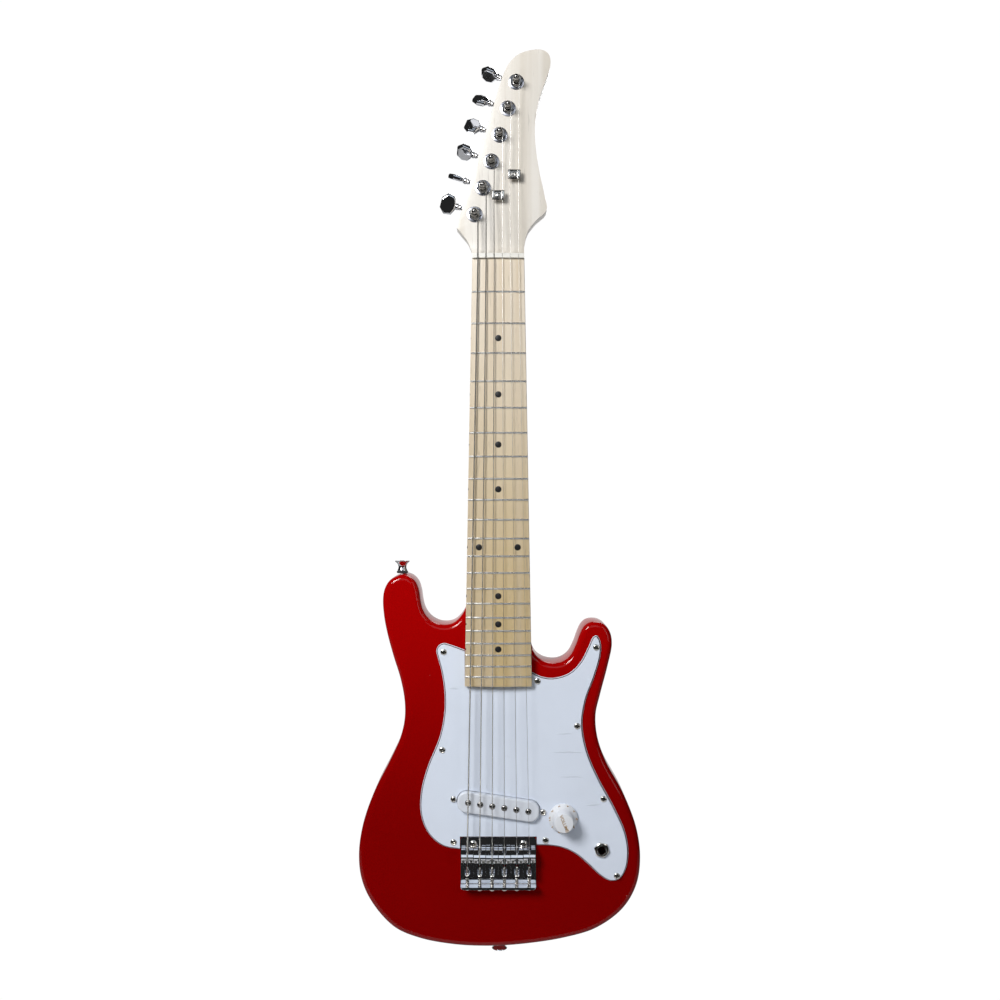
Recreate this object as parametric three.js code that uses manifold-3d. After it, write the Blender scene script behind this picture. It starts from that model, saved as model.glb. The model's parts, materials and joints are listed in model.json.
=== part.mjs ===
// Short-scale solid-body electric guitar for a child: a painted body with two cutaways, a bolt-on maple neck
// with six tuners in a row, one slanted pickup, one volume control, a front jack and a hardtail bridge.
// Millimetres. X runs across the strings (treble side positive), -Y is the playing side, Z runs up the neck.
// The origin is on the centreline, at the face of the nut, in the plane of the body's front.
import * as THREE from "three";
import { mergeVertices } from "three/addons/utils/BufferGeometryUtils.js";
import Module from "manifold-3d";

const wasm = await Module();
wasm.setup();

// ---- Driving dimensions ----
const SCALE_LENGTH = 508;
const FRET_COUNT = 21;
const NUT_WIDTH = 44.5;
const BOARD_END_WIDTH = 57.5;
const BOARD_LENGTH = 365.4;
const BOARD_RADIUS = 241;
const BOARD_TOP = -9.5;
const BOARD_THICKNESS = 4.5;
const FRET_HEIGHT = 1;
const FRET_WIDTH = 2;
const NUT_THICKNESS = 4;
const NECK_DEPTH_AT_NUT = 15.6;
const NECK_DEPTH_AT_HEEL = 17.4;
const HEADSTOCK_FACE = -2;
const HEADSTOCK_BACK = 12;
const HEEL_TOP = -303.5;
const HEEL_END = -360;
const POCKET_DEPTH = 15.9;
const BODY_THICKNESS = 38;
const EDGE_RADIUS = 5;
const GUARD_FRONT = -2.2;
const CLEARANCE = 0.2;
const FIT_GAP = 0.3;

const STRING_COUNT = 6;
const STRING_RADII = [0.58, 0.46, 0.34, 0.22, 0.18, 0.15];
const SPREAD_AT_NUT = 34.6;
const SPREAD_AT_BRIDGE = 53;
const STRING_BASE_AT_NUT = -11;
const CREST = { z: -511.4, y: -13.2 };
const THROUGH_HOLE_Z = -520.5;

const BRIDGE = { width: 65, front: -496, back: -538, lip: 11, sheet: 2 };
const SCREW_LINE_Y = -6.5;
const TUNER = { first: [-20.3, 39.4], step: [7.12, 22.78], tilt: THREE.MathUtils.degToRad(16.8) };
const WORM = { offset: 7, y: 16.6, radius: 2.3 };
const GEAR_TEETH = 15;
const POST_WAIST = 2.3;
const BUTTON_ROLL_DEG = [12, 88, 50, -52, -72, 57];
const TREES = [
  [0, 54.6],
  [13.6, 72.4],
];
const PICKUP = { z: -468.9, slant: THREE.MathUtils.degToRad(8.3), screwSpacing: 77.8, front: -7 };
const KNOB = [55.5, -479.2];
const JACK = [88.7, -506.4];
const HORN_BUTTON = [-84.5, -270.6];
const TAIL_BUTTON = [1, -592.5];

// ---- Outlines, as X and Z. Each is a smooth curve through hand-chosen points. ----
const BODY_RIM = [
  [-27.8, -303.5], [-33, -309.4], [-39, -312.9], [-45.6, -314.1], [-52.3, -313.3], [-58.1, -310.4],
  [-62.4, -306.2], [-65.6, -300.2], [-67.3, -292.6], [-68.5, -284.8], [-71.4, -277.2], [-76.6, -272.4],
  [-82.7, -270.8], [-88.9, -272.4], [-94.2, -275.9], [-98.2, -282.2], [-100, -291], [-99.3, -305],
  [-96.5, -320.5], [-91, -341], [-84.8, -361], [-81.3, -380], [-81.3, -396], [-85, -412],
  [-93.9, -431.5], [-107.2, -458], [-117.3, -487], [-120.9, -513], [-118.4, -535], [-109.2, -555],
  [-90, -576], [-68, -585.5], [-38.4, -591], [-8, -592.4], [22, -590.6], [58, -585],
  [85, -576.6], [108, -559.6], [119.6, -539.5], [123, -516], [119.6, -490], [108.2, -460],
  [93, -432], [85.8, -411], [84.4, -392], [88.4, -374], [94.6, -350.5], [98.5, -331],
  [97, -321], [92.7, -314.6], [87.7, -312], [82.4, -311.5], [77.6, -312.7], [73.6, -316.2],
  [70.3, -322.7], [66.7, -332.4], [62.1, -341], [55.4, -346], [47.9, -347.3], [39.6, -345.6],
  [33, -341], [29.4, -334], [28.3, -318], [27.6, -303.5],
];
const GUARD_LEFT = [
  [-29.4, -335], [-42.8, -330.2], [-47.4, -329.3], [-51.6, -331.6], [-53.5, -336], [-52.2, -341.5],
  [-48.6, -355.5], [-46.3, -373], [-46.6, -390], [-50.5, -409.9], [-61.2, -436.8], [-66.4, -457],
  [-66.8, -476], [-60.5, -492.8], [-48, -503.8], [-32.5, -506.8],
];
const GUARD_RIGHT = [
  [32.5, -503.4], [45.3, -503.8], [57, -506.2], [67.5, -511.5], [78, -520.4], [88, -529.7],
  [97, -534.2], [104.5, -532.4], [110, -523.5], [112, -509.4], [109.5, -492.5], [100.1, -471.1],
  [86.5, -446], [76.6, -422.6], [72.5, -400], [75.2, -379.1], [83, -357.5], [87.8, -341],
  [88.4, -330], [86.5, -324.6], [84.1, -322.6], [81.5, -324.2], [77.4, -333], [70.5, -346],
  [60.5, -355.4], [47, -359.4], [37, -358], [29.4, -354.5],
];
const HEADSTOCK_TREBLE = [
  [22.3, 1], [22.4, 13], [25.4, 25], [32.2, 34], [41.6, 43.6], [40, 54.6],
  [35.2, 77], [31.9, 100], [31.6, 117], [35, 138], [41.2, 156], [44.8, 168],
  [43.6, 177], [38, 181], [28, 180.8], [17, 177], [8.8, 169], [3.2, 157.3],
];
const HEADSTOCK_BASS = [[-35.8, 28.2], [-31.5, 23], [-26.4, 16.4], [-23.4, 9], [-22.3, 1]];

// ---- Materials ----
const finish = (color, roughness, metalness = 0) =>
  new THREE.MeshStandardMaterial({ color, roughness, metalness });
const RED_LACQUER = finish(0x9c0606, 0.15);
const MAPLE = finish(0xe3cfa4, 0.5);
const CHROME = finish(0xc8ccd2, 0.12, 1);
const NICKEL = finish(0xb5b8bb, 0.3, 1);
const WHITE_PLASTIC = finish(0xeef1f6, 0.3);
const BONE_PLASTIC = finish(0xf6f4ee, 0.4);
const BLACK_FELT = finish(0x16161a, 0.95);
const DARK_STEEL = finish(0x4a4a4c, 0.4, 0.8);

// ---- Solid building ----
function solidOf(geometry) {
  const loose = geometry.index ? geometry.toNonIndexed() : geometry;
  const bare = new THREE.BufferGeometry().setAttribute("position", loose.getAttribute("position"));
  const merged = mergeVertices(bare, 1e-4);
  const vertProperties = merged.attributes.position.array;
  const triVerts = new Uint32Array(merged.index.array);
  return new wasm.Manifold(new wasm.Mesh({ numProp: 3, vertProperties, triVerts }));
}

function geometryOf(solid) {
  const { vertProperties, triVerts } = solid.getMesh();
  const geometry = new THREE.BufferGeometry();
  geometry.setAttribute("position", new THREE.BufferAttribute(vertProperties, 3));
  geometry.setIndex(new THREE.BufferAttribute(triVerts, 1));
  geometry.computeVertexNormals();
  return geometry;
}

const join = (...pieces) => geometryOf(pieces.map(solidOf).reduce((whole, piece) => whole.add(piece)));
const cut = (base, ...tools) =>
  geometryOf(tools.map(solidOf).reduce((rest, tool) => rest.subtract(tool), solidOf(base)));

// A smooth open curve through X, Z points, sampled evenly as 2D points.
function smooth(points, count) {
  const through = points.map(([x, z]) => new THREE.Vector3(x, z, 0));
  const curve = new THREE.CatmullRomCurve3(through, false, "centripetal");
  return curve.getSpacedPoints(count).map((p) => new THREE.Vector2(p.x, p.y));
}

// An X, Z outline made solid between two Y planes, with rounded edges if a radius is given.
function slab(outline, front, back, { edge = 0, edgeSegments = 2, curveSegments = 4 } = {}) {
  const shape = outline instanceof THREE.Shape ? outline : new THREE.Shape(outline);
  const geometry = new THREE.ExtrudeGeometry(shape, {
    depth: back - front - 2 * edge,
    curveSegments,
    bevelEnabled: edge > 0,
    bevelThickness: edge,
    bevelSize: edge,
    bevelOffset: -edge,
    bevelSegments: edgeSegments,
  });
  return geometry.rotateX(Math.PI / 2).translate(0, back - edge, 0);
}

// A box between two corners.
function block([x0, y0, z0], [x1, y1, z1]) {
  const box = new THREE.BoxGeometry(x1 - x0, y1 - y0, z1 - z0);
  return box.translate((x0 + x1) / 2, (y0 + y1) / 2, (z0 + z1) / 2);
}

// A side profile, as Z and Y, made solid across X.
function sideProfile(points, width, x = 0) {
  const shape = new THREE.Shape(points.map(([z, y]) => new THREE.Vector2(z, y)));
  const geometry = new THREE.ExtrudeGeometry(shape, { depth: width, bevelEnabled: false });
  return geometry.rotateY(-Math.PI / 2).translate(x + width / 2, 0, 0);
}

// A turned piece about Y. The profile holds radius and Y, from the axis at the front to the axis at the back.
function turned(profile, segments = 12) {
  const points = profile.map(([r, y]) => new THREE.Vector2(r, y));
  const area = THREE.ShapeUtils.area(points);
  return new THREE.LatheGeometry(area < 0 ? points.reverse() : points, segments);
}

const rod = (radius, front, back, segments = 12) =>
  turned([[0, front], [radius, front], [radius, back], [0, back]], segments);
const rodAlongZ = (radius, low, high, segments = 12) =>
  rod(radius, low, high, segments).rotateX(Math.PI / 2);

// A rectangle with round corners, centred on X, Z.
function roundedRectangle(width, height, radius, [x, z] = [0, 0]) {
  const [w, h] = [width / 2 - radius, height / 2 - radius];
  const shape = new THREE.Shape();
  shape.absarc(x + w, z - h, radius, -Math.PI / 2, 0);
  shape.absarc(x + w, z + h, radius, 0, Math.PI / 2);
  shape.absarc(x - w, z + h, radius, Math.PI / 2, Math.PI);
  shape.absarc(x - w, z - h, radius, Math.PI, 1.5 * Math.PI);
  return shape;
}

function regularPolygon(sides, radius) {
  const corner = (k) => {
    const angle = (k / sides) * 2 * Math.PI;
    return new THREE.Vector2(radius * Math.cos(angle), radius * Math.sin(angle));
  };
  return Array.from({ length: sides }, (_, k) => corner(k));
}

// A round wire along straight runs, mitred at each bend. The runs never lie along X.
function wire(points, radius) {
  const route = points.map((p) => new THREE.Vector3(...p));
  const runs = route.slice(1).map((p, k) => p.clone().sub(route[k]).normalize());
  const frames = route.map((_, k) => {
    const [before, after] = [runs[Math.max(k - 1, 0)], runs[Math.min(k, runs.length - 1)]];
    const along = before.clone().add(after).normalize();
    const across = new THREE.Vector3(1, 0, 0).addScaledVector(along, -along.x).normalize();
    return { across, up: along.clone().cross(across).divideScalar(along.dot(before)) };
  });
  const ring = new THREE.Shape(regularPolygon(6, radius));
  const bar = new THREE.ExtrudeGeometry(ring, { depth: runs.length, steps: runs.length, bevelEnabled: false });
  const place = bar.getAttribute("position");
  for (let k = 0; k < place.count; k++) {
    const step = Math.round(place.getZ(k));
    const at = route[step].clone().addScaledVector(frames[step].across, place.getX(k));
    at.addScaledVector(frames[step].up, place.getY(k));
    place.setXYZ(k, at.x, at.y, at.z);
  }
  return bar;
}

const guitar = new THREE.Group();
function add(name, geometry, material, parent = guitar) {
  const mesh = new THREE.Mesh(geometry, material);
  mesh.name = name;
  parent.add(mesh);
  return mesh;
}

// ---- Shared measures ----
const halfWidthAt = (z) => (NUT_WIDTH - ((BOARD_END_WIDTH - NUT_WIDTH) * z) / BOARD_LENGTH) / 2;
const crownDrop = (x) => (x * x) / (2 * BOARD_RADIUS);
const fretZ = (n) => -SCALE_LENGTH * (1 - 2 ** (-n / 12));
const alongStrings = (spread, i) => (i / (STRING_COUNT - 1) - 0.5) * spread;
const bridgeX = (i) => alongStrings(SPREAD_AT_BRIDGE, i);
const nutX = (i) => alongStrings(SPREAD_AT_NUT, i);
const tunerPlace = (i) => [TUNER.first[0] + i * TUNER.step[0], TUNER.first[1] + i * TUNER.step[1]];
const pickupEnd = (side) => [
  (side * PICKUP.screwSpacing * Math.cos(PICKUP.slant)) / 2,
  PICKUP.z - (side * PICKUP.screwSpacing * Math.sin(PICKUP.slant)) / 2,
];

// ---- Body and neck ----
function slanted(geometry) {
  return geometry.rotateY(PICKUP.slant).translate(0, 0, PICKUP.z);
}

function heelOutline(gap) {
  const [top, low] = [halfWidthAt(HEEL_TOP) + gap, halfWidthAt(HEEL_END) + gap];
  const round = 6;
  const shape = new THREE.Shape();
  shape.moveTo(-top, HEEL_TOP + gap);
  shape.lineTo(-low, HEEL_END + round);
  shape.quadraticCurveTo(-low, HEEL_END - gap, -low + round, HEEL_END - gap);
  shape.lineTo(low - round, HEEL_END - gap);
  shape.quadraticCurveTo(low, HEEL_END - gap, low, HEEL_END + round);
  shape.lineTo(top, HEEL_TOP + gap);
  return shape;
}

function bodyBlank() {
  const blank = slab(smooth(BODY_RIM, 92), 0, BODY_THICKNESS, { edge: EDGE_RADIUS });
  const pocket = slab(heelOutline(FIT_GAP), -1, POCKET_DEPTH);
  const pocketMouth = block([-40, -1, HEEL_TOP - 1], [40, POCKET_DEPTH, HEEL_TOP + 20]);
  const pickupRout = slanted(slab(roundedRectangle(92, 27, 5), -1, 20));
  const controlRout = [KNOB, JACK].map(([x, z]) => rod(13.5, -1, 30, 16).translate(x, 0, z));
  const run = new THREE.Vector2(JACK[0] - KNOB[0], JACK[1] - KNOB[1]);
  const link = block([0, -1, -8], [run.length(), 30, 8]).rotateY(-run.angle()).translate(KNOB[0], 0, KNOB[1]);
  const stringHoles = Array.from({ length: STRING_COUNT }, (_, i) => {
    const bore = rod(1.8, -1, BODY_THICKNESS + 1, 8);
    return bore.translate(bridgeX(i), 0, THROUGH_HOLE_Z);
  });
  return cut(blank, pocket, pocketMouth, pickupRout, ...controlRout, link, ...stringHoles);
}

// The shaft's D section, scaled along its length to the board's taper and to the depth at each end.
function neckShaft() {
  const [low, high] = [HEEL_TOP - 12, 12];
  const shape = new THREE.Shape();
  shape.moveTo(1, 0);
  for (let k = 0; k <= 12; k++) {
    const angle = (k / 12) * Math.PI;
    shape.lineTo(Math.cos(angle), 0.12 + 0.88 * Math.sin(angle) ** 0.85);
  }
  shape.lineTo(-1, 0);
  const shaft = new THREE.ExtrudeGeometry(shape, { depth: high - low, steps: 4, bevelEnabled: false });
  const place = shaft.getAttribute("position");
  const top = BOARD_TOP + BOARD_THICKNESS + CLEARANCE;
  for (let k = 0; k < place.count; k++) {
    const z = place.getZ(k) + low;
    const depth = THREE.MathUtils.mapLinear(z, 0, HEEL_TOP, NECK_DEPTH_AT_NUT, NECK_DEPTH_AT_HEEL);
    place.setXYZ(k, place.getX(k) * halfWidthAt(z), top + place.getY(k) * depth, z);
  }
  return cut(shaft, block([-40, -20, 0.5], [40, HEADSTOCK_FACE, 40]));
}

function neckBlank() {
  const neckTop = BOARD_TOP + BOARD_THICKNESS + CLEARANCE;
  const heel = slab(heelOutline(0), neckTop, POCKET_DEPTH - FIT_GAP);
  const outline = [...smooth(HEADSTOCK_TREBLE, 34), ...smooth(HEADSTOCK_BASS, 5)];
  const headstock = slab(outline, HEADSTOCK_FACE, HEADSTOCK_BACK, { edge: 1, edgeSegments: 1 });
  const scoop = sideProfile(
    [[4.2, -1], [4.2, -8.6], [6.5, -8.2], [10, -5.4], [14, -3.2], [20, HEADSTOCK_FACE], [20, -1]],
    NUT_WIDTH,
  );
  const holes = Array.from({ length: STRING_COUNT }, (_, i) => {
    const [x, z] = tunerPlace(i);
    return rod(5, HEADSTOCK_FACE - 1, HEADSTOCK_BACK + 1, 8).translate(x, 0, z);
  });
  return cut(join(neckShaft(), heel, headstock, scoop), ...holes);
}

// A strip of the board's crowned section, from the nut end's Z down by its length. Heights are Y values.
function crownedStrip(top, bottom, z, length, inset = 0) {
  const arc = [-1, -0.5, 0, 0.5, 1];
  const shape = new THREE.Shape();
  arc.forEach((x, k) => shape[k ? "lineTo" : "moveTo"](x, top + crownDrop(x * halfWidthAt(z))));
  [...arc].reverse().forEach((x) => shape.lineTo(x, bottom + (inset ? crownDrop(x * halfWidthAt(z)) : 0)));
  const strip = new THREE.ExtrudeGeometry(shape, { depth: length, bevelEnabled: false });
  const place = strip.getAttribute("position");
  for (let k = 0; k < place.count; k++) {
    const here = place.getZ(k) + z - length;
    place.setXYZ(k, place.getX(k) * (halfWidthAt(here) - inset), place.getY(k), here);
  }
  return strip;
}

function fretboard() {
  const board = crownedStrip(BOARD_TOP, BOARD_TOP + BOARD_THICKNESS, -CLEARANCE, BOARD_LENGTH - CLEARANCE);
  const frets = Array.from({ length: FRET_COUNT }, (_, k) =>
    crownedStrip(BOARD_TOP - FRET_HEIGHT, BOARD_TOP + 1, fretZ(k + 1) + FRET_WIDTH / 2, FRET_WIDTH, 0.4),
  );
  return join(board, ...frets);
}

add("body", bodyBlank(), RED_LACQUER);
add("neck", neckBlank(), MAPLE);
add("fretboard_with_frets", fretboard(), MAPLE);
add("nut", crownedStrip(STRING_BASE_AT_NUT + 0.3, BOARD_TOP + BOARD_THICKNESS, NUT_THICKNESS, NUT_THICKNESS), BONE_PLASTIC);
const NECK_PLATE_Z = -333;
add(
  "neck_plate",
  slab(roundedRectangle(48, 56, 5, [0, NECK_PLATE_Z]), BODY_THICKNESS + CLEARANCE, BODY_THICKNESS + 2),
  CHROME,
);

// ---- Pickguard, pickup, volume control and jack ----
function pickguard() {
  const shape = new THREE.Shape([...smooth(GUARD_LEFT, 34), ...smooth(GUARD_RIGHT, 60)]);
  const neckNotch = halfWidthAt(HEEL_END) + 0.8;
  const tools = [
    block([-neckNotch, -4, HEEL_END - 0.8], [neckNotch, 1, HEEL_END + 60]),
    block([-BRIDGE.width / 2 - 0.6, -4, -520], [BRIDGE.width / 2 + 0.6, 1, BRIDGE.front + 0.6]),
    slanted(slab(roundedRectangle(72, 18.8, 9.3), -4, 1)),
    rod(3.9, -4, 1).translate(KNOB[0], 0, KNOB[1]),
    rod(4.8, -4, 1).translate(JACK[0], 0, JACK[1]),
    ...[-1, 1].map((side) => rod(1.9, -4, 1, 8).translate(pickupEnd(side)[0], 0, pickupEnd(side)[1])),
  ];
  return cut(slab(shape, GUARD_FRONT, -CLEARANCE), ...tools);
}

function pickupCover() {
  const shell = slab(roundedRectangle(71, 17.8, 8.85), PICKUP.front, 3.6, { edge: 0.9, edgeSegments: 1 });
  const inside = slab(roundedRectangle(68.4, 15.2, 7.55), PICKUP.front + 1.3, 5);
  const poles = Array.from({ length: STRING_COUNT }, (_, i) => {
    return rod(2.8, PICKUP.front - 1, 0, 8).translate(alongStrings(52, i), 0, 0);
  });
  return slanted(cut(shell, inside, ...poles));
}

function pickupBobbin() {
  const base = slab(roundedRectangle(84, 24, 6), 4, 6.4, { curveSegments: 2 });
  const coil = slab(roundedRectangle(64, 12, 5.9), PICKUP.front + 1.8, 4.2, { curveSegments: 2 });
  const poles = Array.from({ length: STRING_COUNT }, (_, i) => {
    return rod(2.4, PICKUP.front - 0.9, 11, 6).translate(alongStrings(52, i), 0, 0);
  });
  const ears = [-1, 1].map((side) => rod(1.9, 3, 8, 8).translate((side * PICKUP.screwSpacing) / 2, 0, 0));
  return slanted(cut(join(base, coil, ...poles), ...ears));
}

function potentiometer() {
  const body = turned([[0, -5], [3.5, -5], [3.5, 1], [8.5, 1], [8.5, 10], [0, 10]]);
  const lugs = block([-5.5, 7, -12], [5.5, 8, -5]);
  return cut(join(body, lugs), rod(3.2, -6, 8));
}

function volumeKnob() {
  const outside = [[0, -18.4], [7.7, -18.4], [8.1, -17.9], [8.8, -9], [9.8, -6.8], [12.5, -4.2], [12.5, -3]];
  const inside = [[7.2, -3], [6.8, -8], [3.15, -8], [3.15, -15.6], [0, -15.6]];
  return turned([...outside, ...inside], 16);
}

function outputJack() {
  const barrel = turned([[0, -5.6], [4.3, -5.6], [4.3, CLEARANCE], [8, CLEARANCE], [8, 3], [0, 3]], 16);
  const bracket = block([5.6, 2, -4], [7, 24, 4]);
  return cut(join(barrel, bracket), rod(3.3, -7, 5, 16));
}

function jackTipContact() {
  const leaf = [[-7.4, 3.4], [-6.8, 3.4], [-6.8, 21.8], [-2.2, 25.8], [-4, 28], [-4.5, 27.6], [-3.1, 25.9], [-7.4, 22.1]];
  const shape = new THREE.Shape(leaf.map(([x, y]) => new THREE.Vector2(x, y)));
  return new THREE.ExtrudeGeometry(shape, { depth: 4, bevelEnabled: false }).translate(0, 0, -2);
}

add("pickguard", pickguard(), WHITE_PLASTIC);
add("pickup_cover", pickupCover(), WHITE_PLASTIC);
add("pickup_bobbin", pickupBobbin(), DARK_STEEL);
[-1, 1].forEach((side, k) => {
  const head = GUARD_FRONT - CLEARANCE;
  const screw = turned([[0, head - 1.7], [1.6, head - 1.5], [2.7, head - 0.4], [2.7, head], [1.45, head], [1.45, 13], [0, 14]], 10);
  const [x, z] = pickupEnd(side);
  add(`pickup_height_screw_${k + 1}`, screw, NICKEL).position.set(x, 0, z);
});
add("volume_pot", potentiometer(), NICKEL).position.set(KNOB[0], 0, KNOB[1]);
add("volume_pot_nut", cut(slab(regularPolygon(6, 5.7), -4.4, -2.4), rod(3.75, -6, 0)), NICKEL).position.set(KNOB[0], 0, KNOB[1]);
add("volume_shaft", rod(2.95, -15.2, 7.6), NICKEL).position.set(KNOB[0], 0, KNOB[1]);
add("volume_knob", volumeKnob(), WHITE_PLASTIC).position.set(KNOB[0], 0, KNOB[1]);
add("output_jack", outputJack(), NICKEL).position.set(JACK[0], 0, JACK[1]);
add("jack_nut", cut(slab(regularPolygon(6, 6.6), -4.8, -2.4), rod(4.6, -6, 0, 16)), NICKEL).position.set(JACK[0], 0, JACK[1]);
add("jack_tip_contact", jackTipContact(), NICKEL).position.set(JACK[0], 0, JACK[1]);

// ---- Bridge ----
function bridgePlate() {
  const middle = (BRIDGE.front + BRIDGE.back) / 2;
  const floor = slab(roundedRectangle(BRIDGE.width, BRIDGE.front - BRIDGE.back, 2, [0, middle]), -BRIDGE.sheet - CLEARANCE, -CLEARANCE);
  const half = BRIDGE.width / 2;
  const lip = block([-half, -BRIDGE.lip, BRIDGE.back], [half, -CLEARANCE - 0.5, BRIDGE.back + BRIDGE.sheet]);
  const holes = Array.from({ length: STRING_COUNT }, (_, i) => {
    const x = bridgeX(i);
    const screwHole = rodAlongZ(1.8, BRIDGE.back - 1, BRIDGE.back + 4, 8).translate(x, SCREW_LINE_Y + crownDrop(x), 0);
    return [screwHole, block([x - 1.6, -4, THROUGH_HOLE_Z - 3.5], [x + 1.6, 1, THROUGH_HOLE_Z + 3.5])];
  });
  return cut(join(floor, lip), ...holes.flat());
}

const SADDLE_SIDE = [
  [-529, -4.2], [-503.6, -4.2], [-503.6, -5.8], [-507.2, -11.6], [-508.6, -12.7],
  [-510.2, -12.7], [-511.4, -11.4], [-512.4, -10.2], [-529, -10.2],
];

function saddle() {
  const width = 10.2;
  const shaped = sideProfile(SADDLE_SIDE, width);
  const slot = block([-1.8, -20, -525], [1.8, 0, -512]);
  const hollow = block([-3.6, -8.8, -527], [3.6, 0, -512]);
  const screwHole = rodAlongZ(1.8, -530, -520, 8).translate(0, SCREW_LINE_Y, 0);
  return cut(shaped, slot, hollow, screwHole);
}

function intonationScrew() {
  const head = BRIDGE.back - FIT_GAP;
  const profile = [[0, head - 2.4], [1.8, head - 2.1], [2.75, head - 1], [2.75, head], [1.35, head], [1.35, -520.6], [0, -520]];
  return turned(profile, 8).rotateX(Math.PI / 2);
}

add("bridge_plate", bridgePlate(), CHROME);
for (let i = 0; i < STRING_COUNT; i++) {
  const x = bridgeX(i);
  add(`saddle_${i + 1}`, saddle(), CHROME).position.set(x, crownDrop(x), 0);
  add(`intonation_screw_${i + 1}`, intonationScrew(), NICKEL).position.set(x, SCREW_LINE_Y + crownDrop(x), 0);
}

// ---- Tuners. Each group's own X points away from the headstock's straight edge, and Z along that edge. ----
function tunerHousing() {
  const middle = [-1.5, 2.2];
  const shell = slab(roundedRectangle(19, 19.4, 3, middle), HEADSTOCK_BACK + FIT_GAP, 21.6, { curveSegments: 2 });
  const cavity = slab(roundedRectangle(15, 15.6, 1.5, middle), HEADSTOCK_BACK - 1, 20.2, { curveSegments: 1 });
  const shaftHole = rod(2.3, -14, 0, 8).rotateZ(-Math.PI / 2).translate(0, WORM.y, WORM.offset);
  return cut(shell, cavity, shaftHole);
}

function tunerPost() {
  const above = [[0, -15], [1.6, -14.8], [2.6, -13.8], [2.9, -12], [POST_WAIST, -10.4]];
  const below = [[POST_WAIST, -6], [3, -5], [3, 19.6], [0, 19.6]];
  const tooth = (k) => {
    const angle = (k / (2 * GEAR_TEETH)) * 2 * Math.PI;
    const radius = k % 2 ? 3.7 : 4.5;
    return new THREE.Vector2(radius * Math.cos(angle), radius * Math.sin(angle));
  };
  const gear = slab(Array.from({ length: 2 * GEAR_TEETH }, (_, k) => tooth(k)), 14.4, 18.8);
  return join(turned([...above, ...below], 8), gear);
}

// The worm's shaft and the button, drawn along Y with the button at the low end, then laid along X.
function tunerButton(rollDeg) {
  const shaft = turned(
    [[0, -20.5], [2.2, -20.5], [2.9, -18.6], [2.9, -16.6], [1.9, -16], [1.9, -6.5], [WORM.radius, -6.2], [WORM.radius, 4], [0, 4]],
    10,
  );
  const half = [[2.2, -19.4], [8.8, -23.4], [9.2, -29.6], [5.6, -32.6], [2, -33.7]];
  const outline = [...half, ...half.map(([w, l]) => [-w, l]).reverse()];
  const shape = new THREE.Shape(outline.reverse().map(([w, l]) => new THREE.Vector2(w, l)));
  const head = new THREE.ExtrudeGeometry(shape, {
    depth: 3.4,
    bevelThickness: 0.8,
    bevelSize: 0.8,
    bevelOffset: -0.8,
    bevelSegments: 1,
  }).translate(0, 0, -1.7);
  const roll = THREE.MathUtils.degToRad(90 + rollDeg);
  return join(shaft, head).rotateY(roll).rotateZ(-Math.PI / 2);
}

for (let i = 0; i < STRING_COUNT; i++) {
  const tuner = new THREE.Group();
  const [x, z] = tunerPlace(i);
  tuner.position.set(x, 0, z);
  tuner.rotation.y = TUNER.tilt;
  guitar.add(tuner);
  add(`tuner_housing_${i + 1}`, tunerHousing(), CHROME, tuner);
  add(`tuner_post_${i + 1}`, tunerPost(), CHROME, tuner);
  add(`tuner_button_${i + 1}`, tunerButton(BUTTON_ROLL_DEG[i]), CHROME, tuner).position.set(0, WORM.y, WORM.offset);
}

function stringTree() {
  const wings = block([-5.8, -7.8, -4.3], [5.8, -6.8, 4.3]);
  const folds = [-1, 1].map((side) => block([side * 5.5 - 0.3, -7.6, -4.3], [side * 5.5 + 0.3, -6, 4.3]));
  return join(wings, ...folds, rod(2, -7.4, HEADSTOCK_FACE - FIT_GAP, 8));
}
TREES.forEach(([x, z], k) => add(`string_tree_${k + 1}`, stringTree(), NICKEL).position.set(x, 0, z));

// ---- Strings, from the ball ends at the back of the body to the posts ----
const TREE_SIDE = 3.7;
function stringRoute(i) {
  const radius = STRING_RADII[i];
  const [bx, nx] = [bridgeX(i), nutX(i)];
  const nutY = STRING_BASE_AT_NUT + crownDrop(nx) - radius;
  const crestY = CREST.y + crownDrop(bx) - radius;
  const [px, pz] = tunerPlace(i);
  const tree = TREES[Math.floor(i / 2) - 1];
  const underTree = tree ? [[tree[0] + (i % 2 ? TREE_SIDE : -TREE_SIDE), -6.4 + radius, tree[1]]] : [];
  return [
    [bx, BODY_THICKNESS - 4, THROUGH_HOLE_Z],
    [bx, -1.5, THROUGH_HOLE_Z],
    [bx, crestY + 2.2, CREST.z - 2.8],
    [bx, crestY, CREST.z],
    [nx, nutY, NUT_THICKNESS / 2],
    ...underTree,
    [px + POST_WAIST + FIT_GAP + radius, -7.6, pz],
  ];
}
for (let i = 0; i < STRING_COUNT; i++) {
  add(`string_${i + 1}`, wire(stringRoute(i), STRING_RADII[i]), NICKEL);
}

// ---- Strap buttons ----
function strapButton() {
  const profile = [[0, 0], [4.3, 0], [4.3, 1], [3.6, 3], [3.9, 5], [6.9, 8.4], [6.9, 9], [0, 9]];
  return turned(profile, 14).rotateX(Math.PI / 2);
}
const FELT_THICKNESS = 2;
const strapY = BODY_THICKNESS / 2;
add("strap_felt", rodAlongZ(5, 0, FELT_THICKNESS, 14), BLACK_FELT).position.set(HORN_BUTTON[0], strapY, HORN_BUTTON[1] + CLEARANCE);
add("strap_button_horn", strapButton(), CHROME).position.set(HORN_BUTTON[0], strapY, HORN_BUTTON[1] + 2 * CLEARANCE + FELT_THICKNESS);
const tailButton = add("strap_button_tail", strapButton(), CHROME);
tailButton.position.set(TAIL_BUTTON[0], strapY + 2, TAIL_BUTTON[1] - CLEARANCE);
tailButton.rotation.y = Math.PI;

export default guitar;
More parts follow.
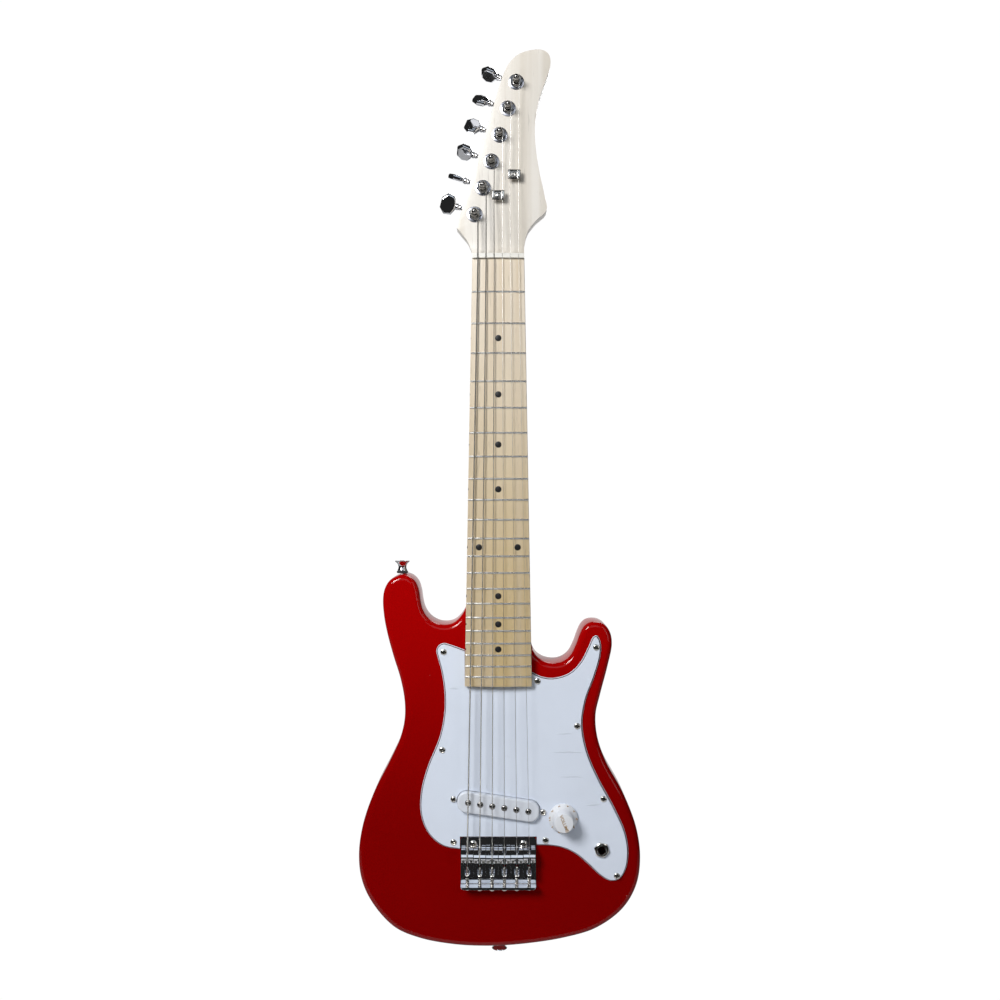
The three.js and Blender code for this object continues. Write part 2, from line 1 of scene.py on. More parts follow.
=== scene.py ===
"""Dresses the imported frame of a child's short-scale electric guitar.

Places come from the frame: node boxes and joint positions. Shapes are worked out in millimetres and become metres
when a mesh is made. X runs across the strings with the treble side positive, -Y is the playing side and Z runs up
the neck from the nut.
"""

import json
import logging
import math
from collections.abc import Callable, Sequence
from dataclasses import dataclass
from enum import Enum

import bmesh
import bpy
from mathutils import Matrix, Vector


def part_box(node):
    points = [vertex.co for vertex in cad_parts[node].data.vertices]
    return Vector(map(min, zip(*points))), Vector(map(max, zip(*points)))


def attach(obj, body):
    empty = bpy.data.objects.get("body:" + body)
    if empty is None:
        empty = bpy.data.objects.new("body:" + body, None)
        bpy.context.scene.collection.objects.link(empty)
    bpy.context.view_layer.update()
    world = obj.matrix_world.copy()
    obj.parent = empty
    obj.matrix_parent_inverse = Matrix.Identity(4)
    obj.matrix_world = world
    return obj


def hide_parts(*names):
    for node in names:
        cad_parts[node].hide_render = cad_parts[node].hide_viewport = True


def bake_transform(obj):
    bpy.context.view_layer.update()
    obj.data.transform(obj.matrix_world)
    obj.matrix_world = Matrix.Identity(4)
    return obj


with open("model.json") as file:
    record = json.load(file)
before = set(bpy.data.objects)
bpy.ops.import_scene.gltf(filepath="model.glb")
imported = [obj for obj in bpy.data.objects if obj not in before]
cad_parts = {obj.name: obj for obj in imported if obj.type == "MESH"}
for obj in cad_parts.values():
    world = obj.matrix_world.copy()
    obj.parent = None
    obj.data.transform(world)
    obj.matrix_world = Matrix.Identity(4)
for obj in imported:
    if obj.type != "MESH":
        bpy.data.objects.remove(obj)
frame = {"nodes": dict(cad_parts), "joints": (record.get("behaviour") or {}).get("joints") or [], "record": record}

LOG = logging.getLogger("guitar")
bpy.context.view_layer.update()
MM = 0.001
STRING_COUNT = 6
ROOT = "guitar"
Pair = tuple[float, float]
UPRIGHT = Matrix(((1, 0, 0, 0), (0, 0, 1, 0), (0, 1, 0, 0), (0, 0, 0, 1)))  # swaps Y and Z


# ---------------------------------------------------------------- solids


@dataclass
class Solid:
    """A closed mesh in millimetres that has no name or finish yet."""

    verts: list[Vector]
    faces: list[tuple[int, ...]]

    def placed(self, matrix: Matrix) -> "Solid":
        """Returns a copy of the solid carried by matrix."""
        return Solid([matrix @ v for v in self.verts], list(self.faces))

    def moved(self, x: float = 0, y: float = 0, z: float = 0) -> "Solid":
        """Returns a copy of the solid shifted by x, y and z."""
        return self.placed(Matrix.Translation((x, y, z)))

    def __add__(self, other: "Solid") -> "Solid":
        """Returns both solids as one, neither cut by the other.

        Args:
            other: the solid to take in.

        Returns:
            Both solids in one.
        """
        shift = len(self.verts)
        faces = [tuple(i + shift for i in face) for face in other.faces]
        return Solid(self.verts + other.verts, self.faces + faces)

    def mesh(self, name: str, scale: float = MM) -> bpy.types.Mesh:
        """Makes a Blender mesh with outward faces.

        Args:
            name: the mesh's name.
            scale: metres in one unit of the solid.

        Returns:
            The new mesh.
        """
        mesh = bpy.data.meshes.new(name)
        mesh.from_pydata([v * scale for v in self.verts], [], self.faces)
        built = bmesh.new()
        built.from_mesh(mesh)
        bmesh.ops.remove_doubles(built, verts=built.verts, dist=1e-4 * scale)
        bmesh.ops.recalc_face_normals(built, faces=built.faces)
        built.to_mesh(mesh)
        built.free()
        return mesh


class Blend(Enum):
    """How a solid meets its tools."""

    CUT = "DIFFERENCE"
    JOIN = "UNION"
    KEEP = "INTERSECT"


def remade(solid: Solid, change: Callable[[bpy.types.Object], None]) -> Solid:
    """Puts a solid through modifiers.

    Args:
        solid: the solid to change.
        change: adds the modifiers to the object it is given.

    Returns:
        The solid as the modifiers leave it.
    """
    body = bpy.data.objects.new("blank", solid.mesh("blank", 1.0))
    bpy.context.scene.collection.objects.link(body)
    change(body)
    result = bpy.data.meshes.new_from_object(body.evaluated_get(bpy.context.evaluated_depsgraph_get()))
    made = Solid([v.co.copy() for v in result.vertices], [tuple(p.vertices) for p in result.polygons])
    bpy.data.objects.remove(body)
    bpy.data.meshes.remove(result)
    return made


def combined(base: Solid, how: Blend, *tools: Solid) -> Solid:
    """Cuts, joins or crosses a solid with its tools, one after the other.

    Args:
        base: the solid to change.
        how: how it meets the tools.
        tools: the solids it meets, in order.

    Returns:
        The changed solid.
    """
    helpers = [bpy.data.objects.new("tool", tool.mesh("tool", 1.0)) for tool in tools]

    def add(body: bpy.types.Object) -> None:
        """Adds one boolean for each tool.

        Args:
            body: the object that carries the solid.
        """
        for helper in helpers:
            bpy.context.scene.collection.objects.link(helper)
            step = body.modifiers.new("step", "BOOLEAN")
            step.operation = how.value
            step.solver = "EXACT"
            step.object = helper

    made = remade(base, add)
    for helper in helpers:
        bpy.data.objects.remove(helper)
    return made


def eased(solid: Solid, width: float, segments: int = 2, angle: float = 40) -> Solid:
    """Rounds a solid's sharp edges by width, over the given angle in degrees.

    Args:
        solid: the solid to round.
        width: the bevel's width.
        segments: how many faces each bevel has.
        angle: edges sharper than this many degrees are rounded.

    Returns:
        The rounded solid.
    """

    def add(body: bpy.types.Object) -> None:
        """Adds the bevel.

        Args:
            body: the object that carries the solid.
        """
        bevel = body.modifiers.new("ease", "BEVEL")
        bevel.width = width
        bevel.segments = segments
        bevel.limit_method = "ANGLE"
        bevel.angle_limit = math.radians(angle)

    return remade(solid, add)


def smooth_line(points: Sequence[Pair], count: int) -> list[Vector]:
    """Draws a smooth open curve through points, as count + 1 evenly spaced ones.

    Args:
        points: the given X and Z pairs.
        count: how many equal steps the curve gets.

    Returns:
        The curve's points as 2D vectors.
    """
    knots = [Vector(p) for p in points]
    padded = [knots[0] * 2 - knots[1], *knots, knots[-1] * 2 - knots[-2]]
    dense = []
    for run in zip(padded, padded[1:], padded[2:], padded[3:]):
        times = [0.0]
        for a, b in zip(run, run[1:]):
            times.append(times[-1] + (b - a).length ** 0.5)
        for k in range(16):
            at = times[1] + (times[2] - times[1]) * k / 16
            dense.append(catmull(run, times, at))
    dense.append(knots[-1])
    return evenly(dense, count)


def catmull(run: Sequence[Vector], times: Sequence[float], at: float) -> Vector:
    """Finds a centripetal curve's point between its two middle knots.

    Args:
        run: four knots in a row.
        times: the knots' times.
        at: the time wanted, between the middle two.

    Returns:
        The point at that time.
    """
    near = [run[i].lerp(run[i + 1], (at - times[i]) / (times[i + 1] - times[i])) for i in range(3)]
    wide = [near[i].lerp(near[i + 1], (at - times[i]) / (times[i + 2] - times[i])) for i in range(2)]
    return wide[0].lerp(wide[1], (at - times[1]) / (times[2] - times[1]))


def evenly(line: Sequence[Vector], count: int) -> list[Vector]:
    """Spaces a polyline's points evenly, in count steps.

    Args:
        line: the polyline.
        count: how many steps it gets.

    Returns:
        The count + 1 spaced points.
    """
    reach = [0.0]
    for a, b in zip(line, line[1:]):
        reach.append(reach[-1] + (b - a).length)
    spaced, k = [], 0
    for step in range(count + 1):
        want = reach[-1] * step / count
        while k < len(line) - 2 and reach[k + 1] < want:
            k += 1
        spaced.append(line[k].lerp(line[k + 1], (want - reach[k]) / (reach[k + 1] - reach[k])))
    return spaced


def filleted(corners: Sequence[Pair], radius: float, steps: int = 4) -> list[Vector]:
    """Rounds every corner of a closed outline.

    Args:
        corners: the outline's corners.
        radius: the fillets' radius.
        steps: how many edges each fillet has.

    Returns:
        The outline's points.
    """
    outline = []
    points = [Vector(p) for p in corners]
    for before, here, after in zip([points[-1], *points], points, [*points[1:], points[0]]):
        back, on = (before - here).normalized(), (after - here).normalized()
        half = math.acos(max(-1.0, min(1.0, back.dot(on)))) / 2
        reach = min(radius / math.tan(half), 0.45 * min((before - here).length, (after - here).length))
        centre = here + (back + on).normalized() * math.hypot(reach, reach * math.tan(half))
        start, end = here + back * reach - centre, here + on * reach - centre
        turn = start.angle_signed(end)
        for k in range(steps + 1):
            outline.append(centre + Matrix.Rotation(-turn * k / steps, 2) @ start)
    return outline


def rounded_rectangle(width: float, height: float, radius: float, x: float = 0, z: float = 0) -> list[Vector]:
    """Draws a rectangle with round corners about x and z.

    Args:
        width: its size along X.
        height: its size along Z.
        radius: its corners' radius.
        x: its middle's X.
        z: its middle's Z.

    Returns:
        The outline's points.
    """
    w, h = width / 2, height / 2
    corners = [(x + w, z - h), (x + w, z + h), (x - w, z + h), (x - w, z - h)]
    return filleted(corners, min(radius, 0.999 * min(w, h)), 8)


def circle(radius: float, sides: int = 32, x: float = 0, z: float = 0) -> list[Vector]:
    """Draws a regular polygon about x and z."""
    angles = [2 * math.pi * k / sides for k in range(sides)]
    return [Vector((x + radius * math.cos(a), z + radius * math.sin(a))) for a in angles]


def loft(rows: Sequence[Sequence[Vector]]) -> Solid:
    """Skins rings that have the same number of points, and closes both ends.

    Args:
        rows: the rings, in order.

    Returns:
        The solid between them.
    """
    count = len(rows[0])
    verts = [v for row in rows for v in row]
    faces = [tuple(range(count)), tuple(range(len(verts) - count, len(verts)))]
    for row in range(len(rows) - 1):
        for k in range(count):
            a, b = row * count + k, row * count + (k + 1) % count
            faces.append((a, b, b + count, a + count))
    return Solid(verts, faces)


def stack(outline: Sequence[Vector], layers: Sequence[Pair]) -> Solid:
    """Builds a solid from copies of an outline at several depths.

    Args:
        outline: the closed outline in X and Z.
        layers: an inset and a Y for each copy, from front to back.

    Returns:
        The solid.
    """
    area = sum(a.x * b.y - a.y * b.x for a, b in zip(outline, [*outline[1:], outline[0]]))
    side = 1 if area > 0 else -1
    inward = []
    for before, here, after in zip([outline[-1], *outline], outline, [*outline[1:], outline[0]]):
        one, two = (here - before).normalized(), (after - here).normalized()
        lean = Vector((-one.y - two.y, one.x + two.x)) * side
        inward.append(lean / max(0.3, 1 + one.dot(two)))
    return loft([
        [Vector((p.x + n.x * inset, y, p.y + n.y * inset)) for p, n in zip(outline, inward)] for inset, y in layers
    ])


def slab(outline: Sequence[Vector], front: float, back: float, edge: float = 0, steps: int = 4) -> Solid:
    """Builds a plate between two depths, its edges rounded by edge.

    Args:
        outline: the closed outline in X and Z.
        front: the Y of its front.
        back: the Y of its back.
        edge: its edges' radius, or 0.
        steps: how many steps each rounded edge has.

    Returns:
        The plate.
    """
    if not edge:
        return stack(outline, [(0, front), (0, back)])
    bends = [math.pi / 2 * k / steps for k in range(steps + 1)]
    curve = [(edge * (1 - math.cos(a)), edge * (1 - math.sin(a))) for a in bends]
    flat = (edge * 1.1, 0.0)
    face = [flat, *reversed(curve)]
    return stack(outline, [(i, front + d) for i, d in face] + [(i, back - d) for i, d in reversed(face)])


def block(low: Sequence[float], high: Sequence[float]) -> Solid:
    """Builds a box between two corners."""
    outline = [Vector(p) for p in ((low[0], low[2]), (high[0], low[2]), (high[0], high[2]), (low[0], high[2]))]
    return slab(outline, low[1], high[1])


def across(profile: Sequence[Pair], width: float, x: float = 0) -> Solid:
    """Carries a side profile, as Y and Z pairs, across X.

    Args:
        profile: the closed profile, as Y and Z pairs.
        width: its size along X.
        x: its middle's X.

    Returns:
        The solid.
    """
    solid = slab([Vector(p) for p in profile], x - width / 2, x + width / 2)
    swap = Matrix(((0, 1, 0, 0), (1, 0, 0, 0), (0, 0, 1, 0), (0, 0, 0, 1)))
    return solid.placed(swap)


def lathe(profile: Sequence[Pair], sides: int = 32, ring: bool = False, flutes: Pair = (0, 0)) -> Solid:
    """Turns a profile about Y.

    Args:
        profile: radius and Y pairs; it starts and ends on the axis unless ring is set.
        sides: how many steps a full turn has.
        ring: True if the profile closes on itself.
        flutes: how many flutes a turn has, and how deep they are.

    Returns:
        The turned solid.
    """
    verts, rows = [], []
    for radius, y in profile:
        if radius < 1e-6:
            rows.append([len(verts)] * sides)
            verts.append(Vector((0, y, 0)))
            continue
        rows.append(list(range(len(verts), len(verts) + sides)))
        for k in range(sides):
            a = 2 * math.pi * k / sides
            r = radius - flutes[1] * (0.5 + 0.5 * math.cos(flutes[0] * a))
            verts.append(Vector((r * math.cos(a), y, r * math.sin(a))))
    faces = []
    pairs = list(zip(rows, rows[1:])) + ([(rows[-1], rows[0])] if ring else [])
    for one, two in pairs:
        for k in range(sides):
            n = (k + 1) % sides
            face = list(dict.fromkeys((one[k], one[n], two[n], two[k])))
            if len(face) > 2:
                faces.append(tuple(face))
    return Solid(verts, faces)


def tube(route: Sequence[Vector], radius: float, sides: int = 12) -> Solid:
    """Builds a round wire along a route whose runs never lie along X.

    Args:
        route: the wire's middle line.
        radius: the wire's radius.
        sides: how many sides it has.

    Returns:
        The wire.
    """
    rings = []
    runs = [(b - a).normalized() for a, b in zip(route, route[1:])]
    for k, point in enumerate(route):
        before, after = runs[max(k - 1, 0)], runs[min(k, len(runs) - 1)]
        along = (before + after).normalized()
        one = (Vector((1, 0, 0)) - along * along.x).normalized()
        two = along.cross(one) / along.dot(before)
        turns = [2 * math.pi * j / sides for j in range(sides)]
        rings.append([point + (one * math.cos(a) + two * math.sin(a)) * radius for a in turns])
    return loft(rings)


def softened(route: Sequence[Vector], radius: float, steps: int = 4) -> list[Vector]:
    """Rounds the inner corners of an open route in space.

    Args:
        route: the route's corners.
        radius: how far from a corner the bend starts.
        steps: how many steps each bend has.

    Returns:
        The softened route's points.
    """
    line = [route[0]]
    for before, here, after in zip(route, route[1:], route[2:]):
        back, on = before - here, after - here
        reach = min(radius, 0.4 * back.length, 0.4 * on.length)
        start, end = here + back.normalized() * reach, here + on.normalized() * reach
        for k in range(steps + 1):
            t = k / steps
            line.append(start.lerp(here, t).lerp(here.lerp(end, t), t))
    return [*line, route[-1]]


# ---------------------------------------------------------------- finishes


class Slot(str, Enum):
    """The record's material slots."""

    LACQUER = "red_lacquer"
    NECK = "maple_neck"
    BOARD = "maple_fretboard"
    BONE = "bone_plastic"
    WHITE = "white_plastic"
    KNOB = "knob_plastic"
    CHROME = "chrome"
    NICKEL = "nickel"
    STRING = "string_steel"
    DARK = "dark_steel"
    FELT = "black_felt"


class Shader:
    """A material's node tree under construction, about one Principled shader."""

    def __init__(self, material: bpy.types.Material) -> None:
        """Takes over the material's nodes.

        Args:
            material: the material to draw on.
        """
        material.use_nodes = True
        self.tree = material.node_tree
        self.main = next(n for n in self.tree.nodes if n.type == "BSDF_PRINCIPLED")
        self.place = self.tree.nodes.new("ShaderNodeTexCoord").outputs["Object"]

    def node(self, kind: str, inputs: dict | None = None, **settings: object) -> bpy.types.Node:
        """Adds a node.

        Args:
            kind: the node's type.
            inputs: a value or a socket for each input, by name or number.
            settings: the node's own options.

        Returns:
            The new node.
        """
        made = self.tree.nodes.new(kind)
        for name, value in settings.items():
            setattr(made, name, value)
        for name, value in (inputs or {}).items():
            if isinstance(value, bpy.types.NodeSocket):
                self.tree.links.new(value, made.inputs[name])
            else:
                made.inputs[name].default_value = value
        return made

    def stretched(self, scale: Sequence[float]) -> bpy.types.NodeSocket:
        """Gives object coordinates in metres, scaled along each axis."""
        return self.node("ShaderNodeMapping", {"Vector": self.place, "Scale": scale}).outputs[0]

    def noise(self, scale: float, detail: float = 3, stretch: Sequence[float] = (1, 1, 1)) -> bpy.types.NodeSocket:
        """Gives a noise value, scale being features per metre.

        Args:
            scale: features per metre.
            detail: how many finer layers there are.
            stretch: how coordinates are scaled along each axis.

        Returns:
            The noise, from 0 to 1.
        """
        spread = self.stretched(stretch)
        made = self.node("ShaderNodeTexNoise", {"Vector": spread, "Scale": scale, "Detail": detail})
        return made.outputs[0]

    def window(self, value: bpy.types.NodeSocket, low: float, high: float, out: Pair = (0, 1)) -> bpy.types.NodeSocket:
        """Maps low to high smoothly onto the out range."""
        inputs = {"Value": value, "From Min": low, "From Max": high, "To Min": out[0], "To Max": out[1]}
        return self.node("ShaderNodeMapRange", inputs, interpolation_type="SMOOTHSTEP").outputs[0]

    def mixed(self, factor: object, one: object, two: object) -> bpy.types.NodeSocket:
        """Mixes two colours by a factor.

        Args:
            factor: how much of the second colour there is.
            one: the first colour.
            two: the second colour.

        Returns:
            The mixed colour.
        """
        made = self.node("ShaderNodeMix", data_type="RGBA")
        for index, value in ((0, factor), (6, one), (7, two)):
            if isinstance(value, bpy.types.NodeSocket):
                self.tree.links.new(value, made.inputs[index])
            else:
                made.inputs[index].default_value = value if index == 0 else (*value, 1)
        return made.outputs[2]

    def times(self, one: object, two: object, operation: str = "MULTIPLY") -> bpy.types.NodeSocket:
        """Multiplies two values, or joins them by another operation."""
        return self.node("ShaderNodeMath", {0: one, 1: two}, operation=operation).outputs[0]

    def bump(self, height: bpy.types.NodeSocket, strength: float, distance: float) -> None:
        """Adds relief from a height, distance being metres, over any relief that is there.

        Args:
            height: the height, from 0 to 1.
            strength: how strongly it shows.
            distance: how deep it is, in metres.
        """
        socket = self.main.inputs["Normal"]
        inputs = {"Height": height, "Strength": strength, "Distance": distance}
        if socket.links:
            inputs["Normal"] = socket.links[0].from_socket
        self.tree.links.new(self.node("ShaderNodeBump", inputs).outputs[0], socket)

    def paint(self, socket: str, value: object) -> None:
        """Sets or links one input of the Principled shader.

        Args:
            socket: the input's name.
            value: a value or a socket.
        """
        if isinstance(value, bpy.types.NodeSocket):
            self.tree.links.new(value, self.main.inputs[socket])
        else:
            self.main.inputs[socket].default_value = value


@dataclass(frozen=True)
class Finish:
    """A surface finish. Its subclasses say how it is painted."""

    name: str
    slot: Slot

    def material(self) -> bpy.types.Material:
        """Returns the finish's material, made once.

        Returns:
            The material.
        """
        made = bpy.data.materials.get(self.name)
        if made is None:
            made = bpy.data.materials.new(self.name)
            self.draw(Shader(made))
        return made

    def draw(self, shader: Shader) -> None:
        """Paints the shader."""
        raise NotImplementedError


@dataclass(frozen=True)
class Lacquer(Finish):
    """Colour with painted shade that darkens it towards the tail, under a glossy clear coat with a little dust in it.
    """

    colour: tuple[float, float, float]
    painted_shade_colour: tuple[float, float, float]

    def draw(self, shader: Shader) -> None:
        """Paints cloudy colour, painted shade darkening towards the tail, dust specks, orange peel and hairline
        scratches.

        Args:
            shader: the shader to paint.
        """
        cloud = shader.window(shader.noise(9, 3), 0.2, 0.8, (-0.1, 0.1))
        height = shader.node("ShaderNodeSeparateXYZ", {0: shader.place}).outputs[2]
        # Painted shade: the colour darkens from Z -0.27 m to -0.5 m, towards the tail, where less light falls; the
        # cloud adds random tone.
        shade_and_cloud = shader.times(shader.window(height, -0.27, -0.5), cloud, "ADD")
        base = shader.mixed(shade_and_cloud, self.colour, self.painted_shade_colour)
        cells = shader.node("ShaderNodeTexVoronoi", {"Vector": shader.place, "Scale": 46})
        speck = shader.window(cells.outputs["Distance"], 0.022, 0.016)
        base = shader.mixed(shader.times(speck, 0.6), base, (0.75, 0.35, 0.33))
        shader.paint("Base Color", base)
        scratch = shader.window(shader.noise(260, 2, (1, 1, 0.03)), 0.62, 0.75)
        shader.paint("Roughness", shader.window(scratch, 0, 1, (0.3, 0.42)))
        shader.paint("Specular IOR Level", 0.0)
        shader.paint("Coat Weight", 0.6)
        shader.paint("Coat Roughness", 0.05)
        shader.bump(shader.noise(420, 2), 0.05, 0.0002)


@dataclass(frozen=True)
class Maple(Finish):
    """Maple with straight fine grain, which may darken towards the body."""

    pale: tuple[float, float, float]
    grain: tuple[float, float, float]
    warm: tuple[float, float, float]
    warm_from: float
    warm_to: float

    def draw(self, shader: Shader) -> None:
        """Paints growth lines, flecks, pores and the slow change of colour.

        Args:
            shader: the shader to paint.
        """
        lines = shader.noise(75, 5, (1, 1, 0.035))
        wide = shader.noise(16, 3, (1, 1, 0.12))
        fleck = shader.noise(520, 3, (1, 1, 0.09))
        tone = shader.mixed(shader.window(lines, 0.38, 0.68), self.pale, self.grain)
        tone = shader.mixed(shader.times(shader.window(wide, 0.4, 0.75), 0.55), tone, self.grain)
        height = shader.node("ShaderNodeSeparateXYZ", {0: shader.place}).outputs[2]
        down = shader.window(height, self.warm_from * MM, self.warm_to * MM)
        tone = shader.mixed(down, tone, shader.mixed(shader.window(lines, 0.35, 0.7), self.warm, self.grain))
        dark = tuple(c * 0.55 for c in self.grain)
        tone = shader.mixed(shader.times(shader.window(fleck, 0.62, 0.72), 0.35), tone, dark)
        shader.paint("Base Color", tone)
        shader.paint("Roughness", shader.window(fleck, 0.3, 0.7, (0.4, 0.55)))
        shader.paint("Coat Weight", 0.35)
        shader.paint("Coat Roughness", 0.28)
        shader.bump(fleck, 0.12, 0.0002)


@dataclass(frozen=True)
class Metal(Finish):
    """Plated metal with finger smudges and small scratches."""

    colour: tuple[float, float, float]
    polish: float
    dull: float

    def draw(self, shader: Shader) -> None:
        """Paints uneven polish and fine scratches.

        Args:
            shader: the shader to paint.
        """
        smudge = shader.window(shader.noise(70, 4), 0.4, 0.75)
        tarnish = tuple(c * 0.86 for c in self.colour)
        shader.paint("Base Color", shader.mixed(smudge, self.colour, tarnish))
        shader.paint("Metallic", 1.0)
        shader.paint("Roughness", shader.window(smudge, 0, 1, (self.polish, self.dull)))
        shader.bump(shader.noise(900, 2, (1, 1, 0.1)), 0.03, 0.0001)


@dataclass(frozen=True)
class Plastic(Finish):
    """Moulded or sheet plastic with handling marks."""

    colour: tuple[float, float, float]
    roughness: float
    marks: float
    creases: tuple[tuple[float, float, float], ...] = ()

    def crease(self, shader: Shader, x: float, z: float, half: float) -> bpy.types.NodeSocket:
        """Draws one shallow crease of the given half length about x and z, in millimetres.

        Args:
            shader: the shader it is drawn on.
            x: its middle's X in millimetres.
            z: its middle's Z in millimetres.
            half: half its length in millimetres.

        Returns:
            1 on the crease and 0 off it.
        """
        parts = shader.node("ShaderNodeSeparateXYZ", {0: shader.place}).outputs
        wave = shader.times(shader.noise(120, 2), 0.0022)
        along = shader.times(shader.times(parts[0], x * MM, "SUBTRACT"), 1 / (half * MM))
        rise = shader.times(shader.times(parts[2], z * MM, "SUBTRACT"), wave, "ADD")
        over = shader.times(shader.times(rise, 0.0011, "SUBTRACT"), 1 / 0.0009)
        size = shader.times(shader.times(along, along), shader.times(over, over), "ADD")
        return shader.window(size, 1.0, 0.0)

    def draw(self, shader: Shader) -> None:
        """Paints faint scuffs, creases in the surface darkened with painted shade, and a slightly uneven gloss.

        Args:
            shader: the shader to paint.
        """
        cloud = shader.window(shader.noise(14, 3), 0.35, 0.7)
        shade = tuple(c * 0.955 for c in self.colour)
        scuff = shader.window(shader.noise(55, 5, (0.35, 1, 1.6)), 0.66, 0.7)
        place = shader.window(shader.noise(17, 1), 0.55, 0.62)
        scuffs_and_crease_shade = shader.times(shader.times(scuff, place), self.marks)
        for x, z, half in self.creases:
            scuffs_and_crease_shade = shader.times(scuffs_and_crease_shade, self.crease(shader, x, z, half), "MAXIMUM")
        tone = shader.mixed(cloud, self.colour, shade)
        # Scuffs darken as wear; the creases darken as painted shade.
        shader.paint("Base Color", shader.mixed(shader.times(scuffs_and_crease_shade, 0.35), tone, tuple(c * 0.6 for c in self.colour)))
        shader.paint("Roughness", shader.window(cloud, 0, 1, (self.roughness, self.roughness + 0.08)))
        shader.bump(shader.noise(600, 2), 0.02, 0.0001)
        shader.bump(scuffs_and_crease_shade, 0.5, 0.0003)


@dataclass(frozen=True)
class WoundWire(Finish):
    """Steel string wire, wound across its length where pitch is set."""

    colour: tuple[float, float, float]
    pitch: float = 0

    def draw(self, shader: Shader) -> None:
        """Paints the windings as relief, with painted shade darkening the grooves between them, along Z.

        Args:
            shader: the shader to paint.
        """
        shader.paint("Metallic", 1.0)
        shader.paint("Roughness", 0.3)
        if not self.pitch:
            tone = shader.mixed(shader.window(shader.noise(90, 2), 0.4, 0.7), self.colour, (0.5, 0.49, 0.46))
            shader.paint("Base Color", tone)
            return
        turns = {"Vector": shader.place, "Scale": 0.05 * 2 * math.pi / (self.pitch * MM)}
        wave = shader.node("ShaderNodeTexWave", turns, bands_direction="Z", wave_profile="SIN").outputs[1]
        # Painted shade: the grooves between the windings are darkened to 0.35 of the colour.
        shader.paint("Base Color", shader.mixed(wave, tuple(c * 0.35 for c in self.colour), self.colour))
        shader.bump(wave, 0.8, 0.0001)


@dataclass(frozen=True)
class Felt(Finish):
    """Pressed wool felt."""

    colour: tuple[float, float, float]

    def draw(self, shader: Shader) -> None:
        """Paints mottled fibres with a soft sheen.

        Args:
            shader: the shader to paint.
        """
        fibres = shader.noise(2400, 4)
        shader.paint("Base Color", shader.mixed(fibres, self.colour, tuple(c * 3 for c in self.colour)))
        shader.paint("Roughness", 0.95)
        shader.paint("Sheen Weight", 0.5)
        shader.bump(fibres, 0.6, 0.0004)


# The second colour is the painted shade towards the tail.
RED = Lacquer("body_red", Slot.LACQUER, (0.41, 0.0004, 0.0006), (0.235, 0.0001, 0.0002))
NECK_MAPLE = Maple("neck_maple", Slot.NECK, (0.84, 0.8, 0.735), (0.71, 0.655, 0.57), (0.7, 0.57, 0.38), 20, -420)
BOARD_MAPLE = Maple("board_maple", Slot.BOARD, (0.84, 0.76, 0.64), (0.71, 0.59, 0.43), (0.7, 0.53, 0.27), 10, -350)
CHROME = Metal("bright_plate", Slot.CHROME, (0.86, 0.87, 0.9), 0.05, 0.11)
NICKEL = Metal("satin_plate", Slot.NICKEL, (0.72, 0.7, 0.66), 0.16, 0.3)
# Darker copy of the bright chrome plate: painted shade on the tuner posts and bushes.
SHADED_POST_STEEL = Metal("post_plate", Slot.CHROME, (0.34, 0.33, 0.32), 0.08, 0.2)
# Copy of the chrome plate with a bluish tint that is a painted reflection on the tuner washers.
BLUISH_LIT_WASHER = Metal("washer_plate", Slot.CHROME, (0.84, 0.87, 0.98), 0.24, 0.42)
FRET_WIRE = Metal("fret_wire", Slot.BOARD, (0.9, 0.89, 0.86), 0.24, 0.38)
POLE_STEEL = Metal("pole_steel", Slot.DARK, (0.3, 0.29, 0.28), 0.22, 0.38)
COIL_TAPE = Plastic("coil_tape", Slot.DARK, (0.02, 0.018, 0.016), 0.6, 0.2)
CREASES = ((57, -407, 8), (60, -423, 16), (63, -444, 12), (82, -468, 8), (-38, -368, 5))
GUARD_WHITE = Plastic("guard_white", Slot.WHITE, (0.805, 0.87, 0.985), 0.3, 0.6, CREASES)
GUARD_BLACK = Plastic("guard_black", Slot.WHITE, (0.02, 0.02, 0.028), 0.4, 0.0)
COVER_WHITE = Plastic("cover_white", Slot.WHITE, (0.76, 0.8, 0.87), 0.32, 0.3)
KNOB_WHITE = Plastic("knob_white", Slot.KNOB, (0.84, 0.86, 0.9), 0.26, 0.15)
BONE = Plastic("bone", Slot.BONE, (0.86, 0.84, 0.78), 0.4, 0.2)
INLAY_BLACK = Plastic("inlay_black", Slot.BOARD, (0.012, 0.012, 0.013), 0.35, 0.0)
GOLD_PRINT = Plastic("gold_print", Slot.KNOB, (0.42, 0.24, 0.08), 0.4, 0.0)
WOUND = WoundWire("wound_string", Slot.STRING, (0.6, 0.585, 0.55), 0.22)
# Darker copy of the string steel: painted shade on the turns round the posts.
SHADED_STRING_TURNS = WoundWire("string_turns", Slot.STRING, (0.36, 0.35, 0.33))
PLAIN = WoundWire("plain_string", Slot.STRING, (0.62, 0.61, 0.59))
BLACK_FELT = Felt("wool_felt", Slot.FELT, (0.012, 0.012, 0.014))
SLOT_FINISHES = {finish.slot.value: finish for finish in (
    RED, NECK_MAPLE, BOARD_MAPLE, CHROME, NICKEL, POLE_STEEL, GUARD_WHITE, KNOB_WHITE, BONE, PLAIN, BLACK_FELT)}


# ---------------------------------------------------------------- pieces


def settle(piece: bpy.types.Object, body: str, replaces: Sequence[str], angle: float) -> None:
    """Smooths a piece, hands it to its body and reports it.

    Args:
        piece: the finished object, at the origin.
        body: the CAD body it moves with.
        replaces: the CAD nodes it stands for.
        angle: edges sharper than this many degrees stay sharp.
    """
    mesh = piece.data
    mesh.polygons.foreach_set("use_smooth", [True] * len(mesh.polygons))
    mesh.set_sharp_from_angle(angle=math.radians(angle))
    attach(piece, body)
    if replaces:
        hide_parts(*replaces)
    LOG.info("%s: %d faces on %s", piece.name, len(mesh.polygons), body)


